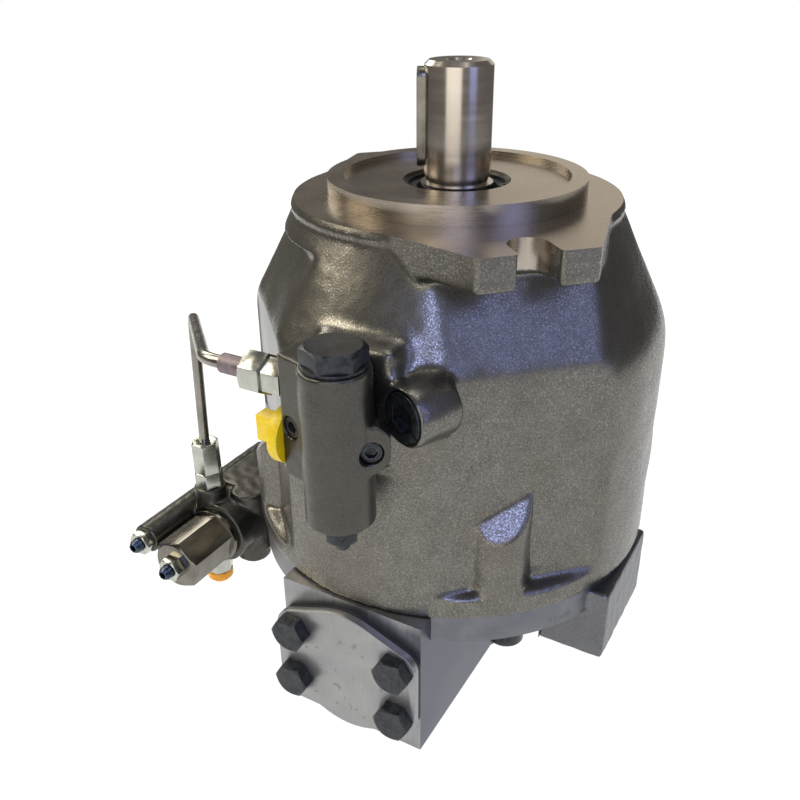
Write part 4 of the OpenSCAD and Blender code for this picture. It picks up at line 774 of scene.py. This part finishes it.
makeWingedPlug()
print("winged plug moulded")


# Port plate: milled and turned, apart from the rough pad on its right
portPlate = {
    "discMm": 105, "discLowMm": -190, "edgeMm": 0.5,
    "padLow": (73.5, -60, -230), "padHigh": (130, 45, -178.4), "rootMm": 2.5,
    "voxelMm": 0.9, "steps": 6, "waveMm": 0.06, "waveSizeMm": 9,
    "discTopMm": -170,      # past the top, for the tools that spare the disc
    "frontMm": -95, "portHalfMm": 40, "portBackMm": -40, "brightMm": -104,     # where the finishes change
}


def makePortPlate():
    look = portPlate
    low, high, root = look["padLow"], look["padHigh"], look["rootMm"]
    away = newPiece("padRoom", boxMesh("padRoom", low, high))
    disc = rodMesh("disc", look["discMm"], look["discLowMm"], look["discTopMm"], steps=256)
    combine(away, newPiece("disc", disc), "DIFFERENCE")
    plate = newPiece("portPlate", meshOf("port_plate"),
                     "greyIronMilled", "greyIronStained", "greyIronCastPale", "greyIronPaintedShade")
    combine(plate, away, "DIFFERENCE")
    breakEdges(plate, look["edgeMm"], -1)
    # the disc's rim is stained, other upright sides are cast, and the port block's right cheek gets
    # painted shade with a painted blue reflection
    for face in plate.data.polygons:
        middle, normal = face.center / mm, face.normal
        reach = math.hypot(middle.x, middle.y)
        port = abs(middle.x) < look["portHalfMm"] and middle.y < look["portBackMm"]
        front = middle.y < look["frontMm"] or port
        if middle.z > look["discLowMm"] - 0.6 and reach > look["discMm"] - 2:
            face.material_index = 0 if front and middle.y < look["brightMm"] else 1
        elif not front and abs(normal.z) < 0.9:
            face.material_index = 2
        # right-facing faces: painted shade with a painted blue reflection
        elif normal.x > 0.5:
            face.material_index = 3
    standFor(plate, "port_plate")

    keep = newPiece("padBlock", boxMesh("padBlock", (low[0] - root, *low[1:]), high))
    inner = rodMesh("disc", look["discMm"] - root, look["discLowMm"] + root, look["discTopMm"], steps=256)
    combine(keep, newPiece("disc", inner), "DIFFERENCE")
    pad = newPiece("padCopy", meshOf("port_plate"))
    combine(pad, keep, "INTERSECT")
    skin = remeshed(pad.data.copy(), look["voxelMm"])
    bpy.data.objects.remove(pad)
    even = np.ones(len(skin.vertices))
    relax(skin, look["steps"], even)
    roughen(skin, look["waveMm"], look["waveSizeMm"], even)
    blank = newPiece("blankPadCasting", skin, "greyIronCastPale")
    shade(skin, degrees=60)
    standFor(blank, "port_plate")
    print("port plate made, pad cast:", len(skin.vertices), "vertices")


makePortPlate()


# Adjusting screws with a cut thread and a hexagon socket
adjusterCut = {
    "pitchMm": 1.25, "depthMm": 0.5, "tipMm": 0.9, "tipInMm": 1.2, "socketMm": 4.0, "socketDeepMm": 3.0,
}
adjusters = {
    "power_adjuster": dict(out=(0, 0, -1), finish="steelBlackOxide"),
    "pressure_adjuster": dict(out=(0, -1, 0), finish="steelBlued"),
    "flow_adjuster": dict(out=(0, -1, 0), finish="steelBlued"),
}


def makeAdjuster(node, look):
    cut = adjusterCut
    low, high = (Vector(corner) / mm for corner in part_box(node))
    out = Vector(look["out"])
    length = abs((high - low).dot(out))
    radius = (high.x - low.x) / 2
    core = radius - cut["depthMm"]
    profile = [(0, 0), (core, 0)]
    for turn in range(int((length - 2 * cut["tipMm"]) / cut["pitchMm"])):
        start = cut["tipMm"] + turn * cut["pitchMm"]
        profile += [(core, start), (radius, start + 0.5 * cut["pitchMm"])]
    profile += [(core, length - cut["tipMm"]), (radius - cut["tipInMm"], length), (0, length)]
    piece = newPiece(pieceName(node), latheMesh(node, profile, 48), look["finish"])
    corner = cut["socketMm"] / math.sqrt(3)
    socket = rodMesh("socket", corner, length - cut["socketDeepMm"], length + 1, steps=6)
    combine(piece, newPiece("socket", socket, look["finish"]), "DIFFERENCE")
    inner = (low + high) / 2 - out * length / 2
    turn = Vector((0, 0, 1)).rotation_difference(out).to_matrix().to_4x4()
    piece.data.transform(Matrix.Translation(inner * mm) @ turn)
    dropScraps(piece.data)
    shade(piece.data, degrees=30)
    standFor(piece, node)


for node, look in adjusters.items():
    makeAdjuster(node, look)
print("threads cut on", len(adjusters), "adjusting screws")


# Pilot tube: bright tube with a dull sleeve next to the upper nut
tubeSleeve = {"fromMm": -51.2, "toMm": -36.8, "y": -121, "z": -54, "overMm": 4.2}


def makeTube():
    look = tubeSleeve
    piece = newPiece("pilotTube", meshOf("pilot_tube"), "steelTubeDrawn", "steelSleevePhosphated")
    for face in piece.data.polygons:
        middle = face.center / mm
        along = look["fromMm"] < middle.x < look["toMm"]
        if along and math.hypot(middle.y - look["y"], middle.z - look["z"]) > look["overMm"]:
            face.material_index = 1
    shade(piece.data, degrees=30)
    standFor(piece, "pilot_tube")


makeTube()
# the nut below the power valve, the highest of the three, is black and not plated
blackNutMm = -140
nuts = bpy.data.objects["lockNuts"].data
nuts.materials.append(finishes["steelBlackOxide"])
for face in nuts.polygons:
    if face.center.z > blackNutMm * mm:
        face.material_index = 2
print("tube and nuts finished")


# Springs: the piston or spool at each one's far end, and the axis it moves along by number; the copies
# stay rigid, and the held and pushed ends worked out below are not used
springs = {
    "bias_spring": dict(moves="bias", along=2),
    "pressure_spring": dict(moves="pressure_spool", along=1),
    "flow_spring": dict(moves="flow_spool", along=1),
}


def makeSpring(node, look):
    piece = newPiece(pieceName(node), meshOf(node), "steelBlued")
    shade(piece.data, degrees=40)
    low, high = (Vector(corner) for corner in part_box(node))
    along = look["along"]
    held, pushed = (low + high) / 2, (low + high) / 2
    held[along] = low[along]
    pushed[along] = high[along]
    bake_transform(piece)
    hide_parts(node)


for node, look in springs.items():
    makeSpring(node, look)
print("springs set")


# What stays as the CAD has it
bronzePieces = {"valve_plate", "rear_bush", "cradle_shells"}
replaced = set(brokenEdges) | set(valveCasts) | set(adjusters) | set(roundShaded) | set(springs)
replaced |= {"housing", "port_plate", "pilot_tube", "winged_plug"}
for name, node in frame["nodes"].items():
    if name in replaced:
        continue
    bronze = name in bronzePieces or name.startswith("slipper")
    finish = "bronzeTurned" if bronze else "steelLapped"
    node.data.materials.clear()
    node.data.materials.append(finishes[finish])
print("CAD finishes set")


# Stage: white paper to the eye, a darker room with a few bright cards for the metal to mirror
stage = {
    "floorMm": 1150, "floorThickMm": 20, "floorGapMm": 0.05,
    "floorDark": "#6a6a69", "floorColour": "#6f6f6e", "fibreMm": 40, "floorRough": 0.9,
    "paperColour": "#ffffff", "paperGlow": 0.985,
    "roomColour": "#e6e2da", "roomStrength": 0.2,
}
lamps = {
    "frontCard": dict(place=(0.35, -1.97, 0.1), aim=(0, 0, 0), size=(1.9, 0.9), power=10,
                      colour="#fffaf2"),
    "keyLeft": dict(place=(-1.1, -0.55, 0.95), aim=(0, 0, -0.05), size=(0.8, 0.9), power=18,
                    colour="#fff6e4"),
    "leftCard": dict(place=(-1.15, 0.5, 0.68), aim=(0, 0, -0.05), size=(0.7, 0.5), power=6,
                     colour="#fffaf0"),
    "skyRight": dict(place=(1.2, -0.35, 0.6), aim=(0, 0, -0.05), size=(0.7, 1.7), power=6.5,
                     colour="#a3b2ff"),
    "skyFront": dict(place=(0.6, -1.2, 0.92), aim=(0, 0, -0.05), size=(0.6, 0.6), power=9,
                     colour="#aebcff"),
    "overhead": dict(place=(-0.1, 0.5, 1.8), aim=(0, 0, 0), size=(1.0, 1.0), power=8,
                     colour="#ffffff"),
    "backCard": dict(place=(-0.2, 1.35, 0.38), aim=(0, 0, 0), size=(0.8, 0.5), power=0.85,
                     colour="#fff3e2"),
}


def makeStage():
    floorAt = cadLow.z / mm
    mesh = rodMesh("floor", stage["floorMm"], floorAt - stage["floorThickMm"],
                   floorAt - stage["floorGapMm"], steps=180)
    material, tree, shader, place = startMaterial("paperMatt", 0.0, 1.5)
    fibre = addNode(tree, "ShaderNodeTexNoise", {
        "Vector": place, "Scale": perMetre(stage["fibreMm"]), "Detail": 2}).outputs["Fac"]
    colour = addNode(tree, "ShaderNodeMix", {
        0: fibre, 6: linear(stage["floorDark"]), 7: linear(stage["floorColour"])},
        data_type="RGBA").outputs[2]
    tree.links.new(colour, shader.inputs["Base Color"])
    shader.inputs["Roughness"].default_value = stage["floorRough"]
    shader.inputs["Emission Color"].default_value = linear(stage["paperColour"])
    shader.inputs["Emission Strength"].default_value = stage["paperGlow"]
    floor = bpy.data.objects.new("floor", mesh)
    bpy.context.scene.collection.objects.link(floor)
    mesh.materials.append(material)

    world = bpy.data.worlds.new("studio")
    bpy.context.scene.world = world
    world.use_nodes = True
    tree = world.node_tree
    room = tree.nodes["Background"]
    room.inputs["Color"].default_value = linear(stage["roomColour"])
    room.inputs["Strength"].default_value = stage["roomStrength"]
    paper = addNode(tree, "ShaderNodeBackground", {"Color": linear(stage["paperColour"]), "Strength": 1.0})
    seen = addNode(tree, "ShaderNodeLightPath").outputs["Is Camera Ray"]
    both = addNode(tree, "ShaderNodeMixShader", {0: seen, 1: room.outputs[0], 2: paper.outputs[0]})
    tree.links.new(both.outputs[0], tree.nodes["World Output"].inputs["Surface"])
    for name, lamp in lamps.items():
        light = bpy.data.lights.new(name, "AREA")
        light.shape = "RECTANGLE"
        light.size, light.size_y = lamp["size"]
        light.energy = lamp["power"]
        light.color = linear(lamp["colour"])[:3]
        holder = bpy.data.objects.new(name, light)
        toward = Vector(lamp["aim"]) - Vector(lamp["place"])
        turn = toward.to_track_quat("-Z", "Y").to_matrix().to_4x4()
        holder.matrix_world = Matrix.Translation(lamp["place"]) @ turn
        bpy.context.scene.collection.objects.link(holder)


makeStage()
print("stage lit")

bpy.context.view_layer.update()
